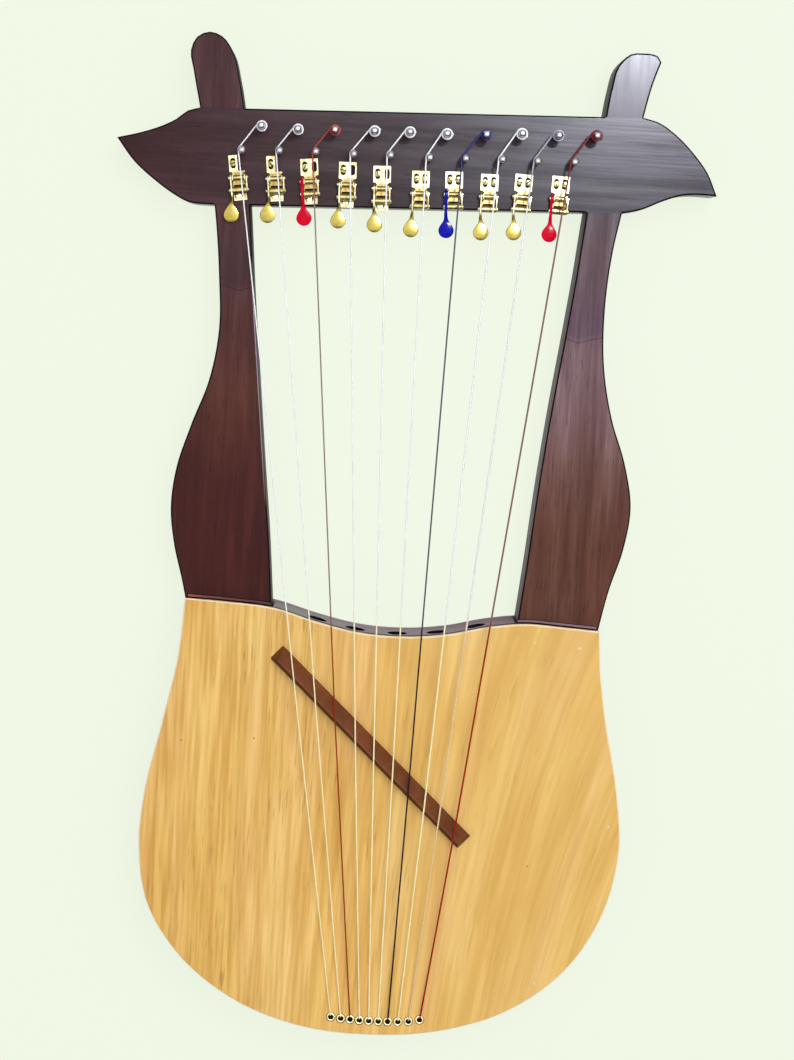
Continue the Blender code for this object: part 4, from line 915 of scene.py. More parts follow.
def make_end_wall(mat):
    """The upper wall, notched over the arms, with its row of sound holes."""
    path = smooth_run(SHOULDER, WOOD_STEP)
    path[0] = path[0] + Vector((OVERHANG, 0))
    path[-1] = path[-1] - Vector((OVERHANG, 0))
    outer, inner = offset_path(path, -OVERHANG), offset_path(path, -(OVERHANG + WALL_THICK))
    wall = slab(outer + list(reversed(inner)), INSIDE_LOW, INSIDE_HIGH, "end_wall_strip", mat)
    for x0, x1 in ((-200.0, LEFT_ARM[0][0] + 0.9), (RIGHT_ARM[0][0] - 0.9, 200.0)):
        notch = [Vector(p) for p in ((x0, -90), (x1, -90), (x1, 0), (x0, 0))]
        boolean(wall, slab(notch, INSIDE_LOW - 2, ARM_DEPTH + GLUE))
    holes = tool(lambda bm: [peg(bm, [(SOUND_HOLE_R, -20), (SOUND_HOLE_R, 20)], 40, (x, 0)) for x in SOUND_HOLES_X])
    middle = (INSIDE_LOW + INSIDE_HIGH) / 2
    holes.data.transform(Matrix.Translation((0, -56 * MM, middle * MM)) @ Matrix.Rotation(math.pi / 2, 4, "X"))
    boolean(wall, holes)
    bm = bmesh.new()
    bm.from_mesh(wall.data)
    bmesh.ops.bisect_plane(bm, geom=bm.verts[:] + bm.edges[:] + bm.faces[:], plane_co=(0, 0, SHADED_FROM * MM),
                           plane_no=(0, 0, 1))
    bm.to_mesh(wall.data)
    bm.free()
    # Painted shade on the wall above SHADED_FROM and inside the sound holes.
    chosen_faces(wall, MATERIALS["edge_stain"], lambda at, normal: at.z > SHADED_FROM or any(
        abs(at.x - x) < SOUND_HOLE_R + 0.5 for x in SOUND_HOLES_X) and abs(at.z - middle) < SOUND_HOLE_R + 0.5
        and normal.z * (middle - at.z) + normal.x * (min(SOUND_HOLES_X, key=lambda x: abs(x - at.x)) - at.x) > 3.0)
    return stand_for(wall, "end_wall")


def make_shoulder_trim():
    """A thin strip on each arm beside the end wall, on a dark bed of painted shade that shows as a line on both its
    sides.
    """
    bm = bmesh.new()
    path = smooth_run(SHOULDER, 0.8)
    for low_x, high_x in ((SHOULDER[0][0] + 0.9, LEFT_ARM[0][0] - 0.2), (RIGHT_ARM[0][0] + 0.4, SHOULDER[-1][0] - 0.9)):
        keep = [i for i, p in enumerate(path) if low_x < p.x < high_x]
        for near, far, low, high in ((-OVERHANG + 0.05, TRIM_BED, GLUE, TRIM_LOW),
                                     (TRIM_NEAR, TRIM_FAR, TRIM_LOW + FLUSH, TRIM_HIGH)):
            inner, outer = offset_path(path, near), offset_path(path, far)
            ring = [inner[i] for i in keep] + [outer[i] for i in reversed(keep)]
            stack(bm, [at_height(ring, ARM_DEPTH + low), at_height(ring, ARM_DEPTH + high)])
    strip = new_piece("shoulder_trim", bm, MATERIALS["trim"])
    # Painted shade on the strip's sides and on its bed.
    chosen_faces(strip, MATERIALS["edge_stain"], lambda at, normal: normal.z < 0.5 or at.z < ARM_DEPTH + TRIM_LOW + 0.1)
    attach(strip, "harp")


def bridge_axes():
    start, end = Vector(BRIDGE_ENDS[0]), Vector(BRIDGE_ENDS[1])
    along = (end - start).normalized()
    return start, end, along, Vector((-along.y, along.x))


def make_bridge(mat):
    """A bar with its crest near the tail side, a long slope to the neck side and nipped ends."""
    start, end, along, across = bridge_axes()
    low = BODY_DEPTH + GLUE
    profile = [(BRIDGE_TAIL_EDGE, 0), (BRIDGE_TAIL_EDGE, 1.2), (BRIDGE_CREST - 0.9, BRIDGE_HEIGHT - 0.5),
               (BRIDGE_CREST - 0.5, BRIDGE_HEIGHT - 0.1), (BRIDGE_CREST, BRIDGE_HEIGHT),
               (BRIDGE_CREST + 0.6, BRIDGE_HEIGHT - 0.1), (BRIDGE_CREST + 1.4, BRIDGE_HEIGHT - 0.6),
               (BRIDGE_NECK_EDGE - 0.5, BRIDGE_LIP + 0.25), (BRIDGE_NECK_EDGE - 0.1, BRIDGE_LIP - 0.1),
               (BRIDGE_NECK_EDGE, BRIDGE_LIP - 0.6), (BRIDGE_NECK_EDGE, 0)]
    rings = []
    for point, inward in ((start, 1), (end, -1)):
        for edge in (0.0, 0.7):
            ring = []
            for u, z in profile:
                nip = BRIDGE_NIP * z / BRIDGE_HEIGHT + edge
                shrink = 1.0 if edge else 0.94
                ring.append((*(point + across * u * shrink + along * inward * nip), low + z * shrink))
            rings.append(ring)
    rings[2:] = reversed(rings[2:])
    bm = bmesh.new()
    stack(bm, rings)
    bar = new_piece("bridge_bar", bm, mat, sharp=28.0)
    # Painted shade on the faces towards the tail.
    chosen_faces(bar, MATERIALS["bridge_shade"], lambda at, normal: normal.xy.dot(across) < -0.6)
    # Painted highlight along the crest.
    chosen_faces(bar, MATERIALS["bridge_crest"], lambda at, normal: at.z > low + BRIDGE_HEIGHT - 0.7
                 and abs(normal.xy.dot(across)) < 0.5 and abs(normal.xy.dot(along)) < 0.2)
    return stand_for(bar, "bridge")


# Pins, eyelets and strings

def make_eyelet(i, mat):
    """Rolled brass eyelet: a domed flange on the board and a tube through it."""
    low, face = BOARD_LOW + 0.1, BODY_DEPTH
    hole, tube, flange, rise = EYELET_HOLE, 2.35, 3.35, 0.7
    roll = [(flange, face), (flange, face + 0.12)]
    roll += [(flange - 0.95 + 0.65 * math.cos(t), face + 0.2 + (rise - 0.2) * math.sin(t))
             for t in (math.pi / 2 * k / 4 for k in range(5))]
    lip = [(hole + 0.45 * (1 - math.sin(t)), face + rise * math.cos(t)) for t in (math.pi / 2 * k / 3 for k in range(4))]
    bm = bmesh.new()
    turned(bm, [(hole, low), (tube, low), (tube, face)] + roll + lip + [(hole, low)], 32, eyelet_at(i))
    bmesh.ops.remove_doubles(bm, verts=bm.verts, dist=0.001)
    eyelet = new_piece(f"eyelet_{i + 1}_brass", bm, mat)
    # Painted shadow: the lowest faces of the flange, against the board, are dark.
    chosen_faces(eyelet, MATERIALS["slot_brass"], lambda at, normal: at.z < face + 0.27)
    return stand_for(eyelet, f"eyelet_{i + 1}")


def make_tuning_pin(i, mat):
    """Plated pin: round shaft, neat shoulder and a tapering squared head with a domed end."""
    sides = 32
    x, y = pin_at(i)

    def section(reach, corner):
        """Ring between a circle (corner 0) and a square of this half width (corner 1)."""
        ring = []
        for k in range(sides):
            a = 2 * math.pi * k / sides
            flat = reach / max(abs(math.cos(a)), abs(math.sin(a)))
            r = min(PIN_R, reach * 1.17) * (1 - corner) + min(flat, reach * 1.22) * corner
            ring.append((x + r * math.cos(a), y + r * math.sin(a)))
        return ring
    half = PIN_SQUARE / 2
    levels = [(PIN_FOOT, section(half, 0)), (PIN_SQUARE_LOW - 1.2, section(half, 0)),
              (PIN_SQUARE_LOW - 0.5, section(half, 0.55)), (PIN_SQUARE_LOW, section(half, 1)),
              (PIN_TOP - 2.0, section(half * 0.96, 0.9)), (PIN_TOP - 1.4, section(half * 0.93, 0.45)),
              (PIN_TOP - 0.9, section(half * 0.86, 0.1)), (PIN_TOP - 0.5, section(half * 0.73, 0)),
              (PIN_TOP - 0.2, section(half * 0.53, 0)), (PIN_TOP - 0.05, section(half * 0.30, 0)),
              (PIN_TOP, section(half * 0.12, 0))]
    bm = bmesh.new()
    stack(bm, [[(*p, z) for p in ring] for z, ring in levels])
    return stand_for(new_piece(f"tuning_pin_{i + 1}_steel", bm, mat, sharp=40.0), f"tuning_pin_{i + 1}",
                     f"tuning_pin_{i + 1}")


def string_route(i):
    """The middle line of one string, from its knot to its cut tail, and a width factor at each point."""
    radius = STRING_D[i] / 2
    eyelet, guide, pin = eyelet_at(i), guide_at(i), pin_at(i)
    guide_turn, pin_turn = GUIDE_NECK_R + radius, PIN_R + WINDING_EASE + radius
    start, _, along, across = bridge_axes()
    run = guide + Vector((-guide_turn, 0)) - eyelet
    crest = eyelet + run * ((start + across * BRIDGE_CREST - eyelet).dot(across) / run.dot(across))
    crest += along * (NOTCHES[i] / along.x)
    out = (crest - eyelet).normalized()
    face = BODY_DEPTH + 1.0
    knot = [(0.9, 22.2), (2.6, 22.8), (4.2, 23.6), (4.6, 24.4), (3.4, 25.2), (1.0, 25.9)]
    rise = eyelet + out * (EYELET_HOLE - 0.15 - radius)
    route = [(*eyelet, z, width) for width, z in knot] + [(*rise, BODY_DEPTH - 2.0, 1.0),
             (*rise, face - 0.9, 1.0), (*(rise + out * 0.25), face - 0.2, 1.0),
             (*(rise + out * 0.8), face + 0.2 + radius, 1.0), (*(eyelet + out * 3.2), face + 0.55 + radius, 1.0),
             (*crest, BODY_DEPTH + BRIDGE_HEIGHT + radius + 0.1, 1.0)]
    arriving = math.atan2(guide.y - crest.y, guide.x - crest.x) + math.asin(guide_turn / (guide - crest).length)
    gap = pin - guide
    leaving = math.atan2(gap.y, gap.x) - math.asin((pin_turn - guide_turn) / gap.length)
    for k in range(7):
        angle = arriving + (leaving - arriving) * k / 6 + math.pi / 2
        route.append((guide.x + guide_turn * math.cos(angle), guide.y + guide_turn * math.sin(angle), STRING_HIGH, 1.0))
    points, pitch = 30, STRING_D[i] + 0.15
    steps = round(WINDINGS[i] * points)
    for k in range(steps + 1):
        angle = leaving + math.pi / 2 - 2 * math.pi * k / points
        route.append((pin.x + pin_turn * math.cos(angle), pin.y + pin_turn * math.sin(angle),
                      STRING_HIGH + pitch * k / points, 1.0))
    last = leaving - 2 * math.pi * steps / points
    x, y, z, _ = route[-1]
    for share, bend in ((0.35, 0.06), (0.7, 0.13), (1.0, 0.2)):
        reach = TAILS[i] * share
        route.append((x + reach * math.cos(last + bend), y + reach * math.sin(last + bend), z + reach / 8, 1.0))
    return route


def make_string(i, mat):
    name = f"string_{i + 1}_nylon"
    route = string_route(i)
    curve = bpy.data.curves.new(name, "CURVE")
    curve.dimensions = "3D"
    curve.bevel_depth = STRING_D[i] / 2 * MM
    curve.bevel_resolution = 3
    curve.use_fill_caps = True
    spline = curve.splines.new("POLY")
    spline.points.add(len(route) - 1)
    for point, (x, y, z, width) in zip(spline.points, route):
        point.co = (x * MM, y * MM, z * MM, 1)
        point.radius = width
    drawn = bpy.data.objects.new(name, curve)
    bpy.context.scene.collection.objects.link(drawn)
    graph = bpy.context.evaluated_depsgraph_get()
    mesh = bpy.data.meshes.new_from_object(drawn.evaluated_get(graph))
    bpy.data.objects.remove(drawn, do_unlink=True)
    bpy.data.curves.remove(curve)
    mesh.materials.clear()
    mesh.materials.append(mat)
    obj = bpy.data.objects.new(name, mesh)
    bpy.context.scene.collection.objects.link(obj)
    soften(obj, 60.0)
    return stand_for(obj, f"string_{i + 1}")


# Sharping levers

def lever_place(i, high):
    """From a lever's own axes to the instrument: turned to its string, this high above the crossbar."""
    joint = JOINTS[f"lever_{i + 1}_flip"]
    x, y, _ = joint["pos_m"]
    turn = Matrix.Rotation(math.atan2(-joint["axis"][1], -joint["axis"][0]), 4, "Z")
    return Matrix.Translation((x, y, (ARM_DEPTH + high) * MM)) @ turn


def rounded(corners, radius, steps=4):
    """A polygon with its corners rounded."""
    ring = []
    for before, here, after in zip(corners[-1:] + corners, corners, corners[1:] + corners[:1]):
        here = Vector(here)
        start = here + (Vector(before) - here).normalized() * radius
        end = here + (Vector(after) - here).normalized() * radius
        ring += [start.lerp(here, t).lerp(here.lerp(end, t), t) for t in (k / steps for k in range(steps + 1))]
    return ring


def oblong(x, y, radius, reach, steps=8):
    """An oblong slot along y."""
    return [Vector((x + radius * math.cos(a), y + side * reach + radius * math.sin(a)))
            for side in (1, -1) for a in (math.pi * (k / steps + (side < 0)) for k in range(steps + 1))]


def joined(bm, source):
    """Add another mesh to a bmesh."""
    bm.from_mesh(source.data)
    bpy.data.objects.remove(source, do_unlink=True)


def along_x(bm, y, z=0.0):
    """Lay a turned solid down along x, at this y and z."""
    bmesh.ops.rotate(bm, verts=bm.verts, matrix=Matrix.Rotation(math.pi / 2, 3, "Y"))
    bmesh.ops.translate(bm, verts=bm.verts, vec=(0.0, y, z))


def sheet_part(ring, low, high, edge=0.12, upright=False):
    """A stamped part with softly broken edges; upright ones stand across x with ring in y and z."""
    bm = bmesh.new()
    rings = [(widened(ring, -inset), level) for inset, level in
             ((edge, low), (0.0, low + edge), (0.0, high - edge), (edge, high))]
    stack(bm, [[(level, p.x, p.y) if upright else (p.x, p.y, level) for p in r] for r, level in rings])
    return new_piece("tool", bm, None, sharp=50.0)


def bracket_shape(long_base, narrow):
    """Folded bracket: slotted mounting plate, floor with a window and two cheeks bored for the axle."""
    left, right = CHEEKS[0][0], CHEEKS[1][1]
    end = BASE_END_LONG if long_base else BASE_END_SHORT
    plate = NARROW_X if narrow else PLATE_X
    neck = PLATE_Y[0] - 0.5
    floor = [(left, end), (right, end), (right, neck + 1.2), (left, neck + 1.2)]
    bracket = sheet_part(rounded(floor, 0.5), SHEET_LOW, SHEET_HIGH)
    top = [(plate[0], PLATE_Y[0]), (plate[1], PLATE_Y[0]), (plate[1], PLATE_Y[1]), (plate[0], PLATE_Y[1])]
    boolean(bracket, sheet_part(rounded(top, 0.45), SHEET_LOW, SHEET_HIGH + PLATE_RISE), "UNION")
    crown = [(-CHEEK_HALF, 0.6), (CHEEK_HALF, 0.6), (CHEEK_HALF, CHEEK_SHOULDER), (CHEEK_HALF - 1.3, CHEEK_TOP),
             (-CHEEK_HALF + 1.3, CHEEK_TOP), (-CHEEK_HALF, CHEEK_SHOULDER)]
    for x0, x1 in CHEEKS:
        boolean(bracket, sheet_part(rounded(crown, 0.5), x0, x1, upright=True), "UNION")
    openings = [oblong(*SLOT_LEFT, SLOT_R, SLOT_REACH)]
    if not narrow:
        openings.append(oblong(*(SLOT_RIGHT_LONG if long_base else SLOT_RIGHT_SHORT), SLOT_R, SLOT_REACH))
    if long_base:
        openings.append(oblong(*TAIL_HOLE, TAIL_HOLE_R, TAIL_HOLE_REACH))
    window = [(left + 0.5, WINDOW_Y[0]), (right - 0.5, WINDOW_Y[0]), (right - 0.5, WINDOW_Y[1]),
              (left + 0.5, WINDOW_Y[1])]
    openings.append(rounded(window, 0.3))
    for ring in openings:
        boolean(bracket, slab(ring, SHEET_LOW - 1, SHEET_HIGH + 2))
    bore = bmesh.new()
    peg(bore, [(AXLE_R + 0.12, -20), (AXLE_R + 0.12, 20)], 28)
    along_x(bore, 0.0, PIVOT_HIGH)
    boolean(bracket, new_piece("tool", bore, None))
    bm = bmesh.new()
    bm.from_mesh(bracket.data)
    for y in SHADE_Y:
        bmesh.ops.bisect_plane(bm, geom=bm.verts[:] + bm.edges[:] + bm.faces[:], plane_co=(0, y * MM, 0),
                               plane_no=(0, 1, 0))
    bm.to_mesh(bracket.data)
    bm.free()
    return bracket


def placed(name, shape, matrix, mat, other=None, chosen=None):
    """A copy of a shape, moved to its place in its mesh; faces that are chosen get the other finish."""
    mesh = shape.data.copy()
    mesh.name = name
    mesh.materials.clear()
    mesh.materials.append(mat)
    obj = bpy.data.objects.new(name, mesh)
    bpy.context.scene.collection.objects.link(obj)
    if other:
        chosen_faces(obj, other, chosen)
    mesh.transform(matrix)
    return obj


def stem_shape(paddle_x, thicker=0.0):
    """Stem and twisted paddle in one loft, about the pivot; the paddle stands on its own middle line."""
    middle = (STEM_X[0] + STEM_X[1]) / 2
    bm = bmesh.new()
    rings = []
    for y, share, h, t, eighths in smooth_run(STEM, 0.6):
        x = middle + (paddle_x - middle) * share - thicker
        t, a = t + thicker, math.pi / 4 * eighths
        corner = min(0.42, h * 0.8, t * 0.8)
        section = rounded([(-h, -t), (h, -t), (h, t), (-h, t)], corner, 3)
        rings.append([(x + p.x * math.cos(a) - p.y * math.sin(a), y, p.x * math.sin(a) + p.y * math.cos(a))
                      for p in section])
    stack(bm, rings)
    return new_piece("stem", bm, None, sharp=55.0)


def axles_shape():
    """Axle and roller with their riveted heads, and the link that joins them; the right ends are dimpled."""
    bm = bmesh.new()
    dome = [(0.45, 0.0), (0.95, 0.1), (1.3, 0.35), (RIVET_R - 0.02, 0.75)]
    for y, radius in ((0.0, AXLE_R), (-CRANK, ROLLER_R)):
        rod = bmesh.new()
        left, right = STEM_X[1] + 0.05, LINK_X[0] - 0.05
        profile = [(r, STEM_X[0] - 1.5 + d) for r, d in dome] + [(RIVET_R, STEM_X[1] - 0.2)]
        profile += [(radius - 0.15, left), (radius, left + 0.15), (radius, right - 0.15), (radius - 0.15, right)]
        end = LINK_X[1] + 0.8
        profile += [(RIVET_R, right + 0.2), (RIVET_R, end - 0.25), (RIVET_R - 0.25, end), (0.75, end), (0.6, end - 0.5)]
        peg(rod, profile, 28)
        along_x(rod, y)
        joined(bm, new_piece("tool", rod, None))
    link = [Vector((centre + radius * math.cos(a), radius * math.sin(a)))
            for centre, radius, first in ((0.0, LINK_AXLE_R, -80), (-CRANK, LINK_ROLLER_R, 100))
            for a in (math.radians(first + 20 * k) for k in range(9))]
    joined(bm, sheet_part(link, *LINK_X, upright=True))
    for vert in bm.verts:
        vert.co /= MM
    return new_piece("axles", bm, None, sharp=40.0)


def in_shade(at, normal):
    """Whether a face of a bracket lies between its cheeks, where it is unpolished and painted in shade."""
    return CHEEKS[0][0] + 0.2 < at.x < CHEEKS[1][1] - 0.2 and SHADE_Y[0] < at.y < SHADE_Y[1] and at.z < 4.5


def in_bar(standing):
    """A test for the faces of axle and roller between the stem and the link."""
    back = standing.inverted()

    def chosen(at, normal):
        across = (back @ (at * MM)).x / MM
        return STEM_X[1] + 0.02 < across < LINK_X[0] - 0.02
    return chosen


def make_levers():
    brass = MATERIALS["brass"]
    brackets = {kind: bracket_shape(*kind) for kind in ((True, True), (True, False), (False, False))}
    axles = axles_shape()
    for i in range(COUNT):
        name, node, body = f"lever_{i + 1}", f"lever_handle_{i + 1}", f"lever_{i + 1}"
        standing, pivot = lever_place(i, 0.0), lever_place(i, PIVOT_HIGH)
        shape = brackets[(i < LONG_BASE, i < NARROW_PLATE)]
        stand_for(placed(f"{name}_bracket_brass", shape, standing, brass, MATERIALS["shaded_brass"], in_shade),
                  f"lever_bracket_{i + 1}")
        stem = stem_shape(PADDLE_X[i], 0.2 if i in PAINTED else 0.0)
        finish = MATERIALS[PAINTED.get(i, "matte_brass")]
        polished = finish if i in PAINTED else brass
        stand_for(placed(f"{name}_stem", stem, pivot, finish, polished, lambda at, normal: at.y > PADDLE_TOP),
                  node, body)
        bpy.data.objects.remove(stem, do_unlink=True)
        bars = placed(f"{name}_axles", axles, pivot, brass, MATERIALS["plated_steel"],
                      lambda at, normal: at.x < STEM_X[0] - 0.1)
        chosen_faces(bars, MATERIALS["bar_brass"], in_bar(standing))
        stand_for(bars, node, body)
    for shape in (axles, *brackets.values()):
        bpy.data.objects.remove(shape, do_unlink=True)


def make_shade_sheets():
    """Thin dark sheets between each bracket and the crossbar: painted shade that shows in the brackets' slots."""
    bm = bmesh.new()
    for i in range(COUNT):
        end = BASE_END_LONG if i < LONG_BASE else BASE_END_SHORT
        left, right = NARROW_X if i < NARROW_PLATE else PLATE_X
        stand = lever_place(i, 0.0)
        for x0, x1, y0, y1 in ((left, right, PLATE_Y[0], PLATE_Y[1]), (CHEEKS[0][0], CHEEKS[1][1], end, PLATE_Y[0] - 0.2)):
            corners = [(x0 + 0.4, y0 + 0.4), (x1 - 0.4, y0 + 0.4), (x1 - 0.4, y1 - 0.4), (x0 + 0.4, y1 - 0.4)]
            stack(bm, [[stand @ (Vector((x, y, z)) * MM) / MM for x, y in corners] for z in (0.02, SHEET_LOW - 0.02)])
    shade_layers = new_piece("bracket_pads", bm, MATERIALS["edge_stain"])
    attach(shade_layers, "harp")


# Small repeated fastenings, made by geometry nodes

def new_tree(name, inputs):
    """A geometry node tree with one mesh in, named inputs and one mesh out."""
    tree = bpy.data.node_groups.new(name, "GeometryNodeTree")
    tree.interface.new_socket("Geometry", in_out="INPUT", socket_type="NodeSocketGeometry")
    for label, value in inputs:
        kind = {int: "NodeSocketInt", float: "NodeSocketFloat"}.get(type(value), "NodeSocketMaterial")
        tree.interface.new_socket(label, in_out="INPUT", socket_type=kind).default_value = value
    tree.interface.new_socket("Geometry", in_out="OUTPUT", socket_type="NodeSocketGeometry")
    return tree, place(tree, "NodeGroupInput").outputs, place(tree, "NodeGroupOutput").inputs


def finish_tree(tree, given, result, points):
    """Stand the shape on every point, turned by the point's own angle, as one real mesh."""
    angle = place(tree, "GeometryNodeInputNamedAttribute", {"Name": "turn"}, data_type="FLOAT").outputs[0]
    turn = place(tree, "ShaderNodeCombineXYZ", {"Z": angle}).outputs[0]
    copies = place(tree, "GeometryNodeInstanceOnPoints", {"Points": given["Geometry"], "Instance": points,
                                                          "Rotation": turn}).outputs[0]
    real = place(tree, "GeometryNodeRealizeInstances", {"Geometry": copies}).outputs[0]
    smooth = place(tree, "GeometryNodeSetShadeSmooth", {"Geometry": real, "Shade Smooth": True}).outputs[0]
    done = place(tree, "GeometryNodeSetMaterial", {"Geometry": smooth, "Material": given["Material"]}).outputs[0]
    tree.links.new(done, result["Geometry"])
    return tree


def turned_pin_tree(name, shape, mat):
    """A turned pin: its radius follows a curve from foot to top."""
    tree, given, result = new_tree(name, [("Radius", 0.0024), ("Height", 0.021), ("Sides", 24), ("Rings", 40),
                                          ("Material", mat)])
    rod = place(tree, "GeometryNodeMeshCylinder", {"Vertices": given["Sides"], "Side Segments": given["Rings"],
                                                   "Radius": 1.0, "Depth": 1.0}, fill_type="NGON").outputs["Mesh"]
    at = place(tree, "ShaderNodeSeparateXYZ", {0: place(tree, "GeometryNodeInputPosition").outputs[0]}).outputs
    share = maths(tree, "ADD", at["Z"], 0.5)
    curve = place(tree, "ShaderNodeFloatCurve", {"Value": share})
    points = curve.mapping.curves[0].points
    while len(points) < len(shape):
        points.new(0.5, 0.5)
    for point, place_on_curve in zip(points, shape):
        point.location = place_on_curve
        point.handle_type = "VECTOR"
    curve.mapping.update()
    reach = maths(tree, "MULTIPLY", curve.outputs[0], given["Radius"])
    moved = place(tree, "ShaderNodeCombineXYZ", {"X": maths(tree, "MULTIPLY", at["X"], reach),
                                                 "Y": maths(tree, "MULTIPLY", at["Y"], reach),
                                                 "Z": maths(tree, "MULTIPLY", share, given["Height"])}).outputs[0]
    pin = place(tree, "GeometryNodeSetPosition", {"Geometry": rod, "Position": moved}).outputs[0]
    return finish_tree(tree, given, result, pin)


def slotted_screw_tree(mat):
    """A low round head with a driver slot cut across it."""
    tree, given, result = new_tree("slotted_screws", [("Head Radius", 0.0016), ("Head Height", 0.0011),
                                                      ("Slot Width", 0.00055), ("Slot Depth", 0.0006),
                                                      ("Material", mat)])
    head = place(tree, "GeometryNodeMeshCylinder", {"Vertices": 28, "Radius": given["Head Radius"],
                                                    "Depth": given["Head Height"]}, fill_type="NGON").outputs["Mesh"]
    half = maths(tree, "MULTIPLY", given["Head Height"], 0.5)
    crown = place(tree, "GeometryNodeMeshUVSphere", {"Segments": 28, "Rings": 16,
                                                     "Radius": given["Head Radius"]}).outputs["Mesh"]
    squash = place(tree, "ShaderNodeCombineXYZ", {"X": 1.0, "Y": 1.0, "Z": 0.12}).outputs[0]
    raised = place(tree, "ShaderNodeCombineXYZ", {"Z": half}).outputs[0]
    crown = place(tree, "GeometryNodeTransform", {"Geometry": crown, "Translation": raised,
                                                  "Scale": squash}).outputs[0]
    whole = place(tree, "GeometryNodeMeshBoolean", {}, operation="UNION", solver="EXACT")
    for part in (head, crown):
        tree.links.new(part, whole.inputs["Mesh 2"])
    long = maths(tree, "MULTIPLY", given["Head Radius"], 3.0)
    size = place(tree, "ShaderNodeCombineXYZ", {"X": long, "Y": given["Slot Width"], "Z": given["Head Height"]})
    blade = place(tree, "GeometryNodeMeshCube", {"Size": size.outputs[0]}).outputs["Mesh"]
    dome = maths(tree, "MULTIPLY", given["Head Radius"], 0.12)
    lift = maths(tree, "SUBTRACT", maths(tree, "ADD", given["Head Height"], dome), given["Slot Depth"])
    blade = place(tree, "GeometryNodeTransform", {"Geometry": blade, "Translation": place(
        tree, "ShaderNodeCombineXYZ", {"Z": lift}).outputs[0]}).outputs[0]
    cut = place(tree, "GeometryNodeMeshBoolean", {"Mesh 1": whole.outputs["Mesh"]}, operation="DIFFERENCE",
                solver="EXACT")
    tree.links.new(blade, cut.inputs["Mesh 2"])
    return finish_tree(tree, given, result, cut.outputs["Mesh"])


def scattered(name, tree, spots, slot, body="harp", sharp=35.0, **sizes):
    """Run a tree on a handful of points, given as x, y, z in millimetres and a turn, and keep its mesh."""
    mesh = bpy.data.meshes.new(name)
    mesh.from_pydata([Vector(spot[:3]) * MM for spot in spots], [], [])
    turns = mesh.attributes.new("turn", "FLOAT", "POINT")
    for value, spot in zip(turns.data, spots):
        value.value = spot[3]
    obj = bpy.data.objects.new(name, mesh)
    bpy.context.scene.collection.objects.link(obj)
    step = obj.modifiers.new(name, "NODES")
    step.node_group = tree
    for item in tree.interface.items_tree:
        if item.in_out == "INPUT" and item.name.replace(" ", "_") in sizes:
            step[item.identifier] = sizes[item.name.replace(" ", "_")]
    keep_result(obj)
    soften(obj, sharp)
    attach(obj, body)
    return obj


def make_guide_pins():
    """Turned steel pins with domed heads that lead the strings from the levers to the tuning pins."""
    steel = MATERIALS["plated_steel"]
    shape = [(0.0, 0.81), (0.77, 0.81), (0.81, 0.77), (0.877, 0.77), (0.884, 0.82), (0.896, 0.90), (0.912, 0.99),
             (0.927, 1.0), (0.944, 0.95), (0.961, 0.85), (0.976, 0.69), (0.989, 0.48), (1.0, 0.16)]
    spots = [(*guide_at(i), GUIDE_FOOT, 0.0) for i in range(COUNT)]
    pins = scattered("guide_pins", turned_pin_tree("turned_guide_pins", shape, steel), spots, "plated_steel",
                     Height=(GUIDE_TOP - GUIDE_FOOT) * MM, Radius=GUIDE_R * MM, Rings=70)
    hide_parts("crossbar")


def make_lever_screws():
    """Slotted screws in the brackets' slots, each left at its own angle."""
    spots = []
    height = 0.5
    on_plate, in_hole = SHEET_HIGH + PLATE_RISE + height / 2 - 0.1, 0.6
    for i in range(COUNT):
        stand = lever_place(i, 0.0)
        holes = [(*SLOT_LEFT, on_plate), (*TAIL_SCREW, in_hole) if i < LONG_BASE else (*SLOT_RIGHT_SHORT, on_plate)]
        for k, (x, y, z) in enumerate(holes):
            at = stand @ (Vector((x, y, z)) * MM) / MM
            spots.append((*at, 0.4 + 1.9 * i + 0.8 * k))
    tail_screws = {round(spot[0], 2) for spot in spots[1:2 * LONG_BASE:2]}
    screws = scattered("lever_screws", slotted_screw_tree(MATERIALS["screw_brass"]), spots, "brass",
                       Head_Radius=2.15 * MM, Head_Height=height * MM, Slot_Width=0.85 * MM, Slot_Depth=0.5 * MM)

    def foot_of(at):
        return min(spots, key=lambda spot: (spot[0] - at.x) ** 2 + (spot[1] - at.y) ** 2)
    chosen_faces(screws, MATERIALS["brass"], lambda at, normal: round(foot_of(at)[0], 2) in tail_screws)
    # Painted shade in the slots and round the sides of the screw heads, except the tail screws.
    chosen_faces(screws, MATERIALS["slot_brass"], lambda at, normal: round(foot_of(at)[0], 2) not in tail_screws
                 and (normal.z < 0.8 or at.z < foot_of(at)[2] + height / 2 - 0.02))


def plug_tree(name, mat):
    """A low round plug."""
    tree, given, result = new_tree(name, [("Radius", 0.0012), ("Height", 0.0004), ("Sides", 20), ("Material", mat)])
    disc = place(tree, "GeometryNodeMeshCylinder", {"Vertices": given["Sides"], "Radius": given["Radius"],
                                                    "Depth": given["Height"]}, fill_type="NGON").outputs["Mesh"]
    return finish_tree(tree, given, result, disc)


def make_plugs():
    """Pale wooden plugs over the nails that hold the soundboard to the rim, and a few flat dark discs, painted shade,
    for pinholes.
    """
    for name, places, radius, mat in (("nail_plugs", PLUGS, PLUG_R, MATERIALS["plug_wood"]),
                                      ("pinholes", PINHOLES, PINHOLE_R, MATERIALS["block_wood"])):
        spots = [(*spot, BODY_DEPTH - 0.1, 0.0) for spot in places]
        scattered(name, plug_tree(name, mat), spots, "ash", Radius=radius * MM)


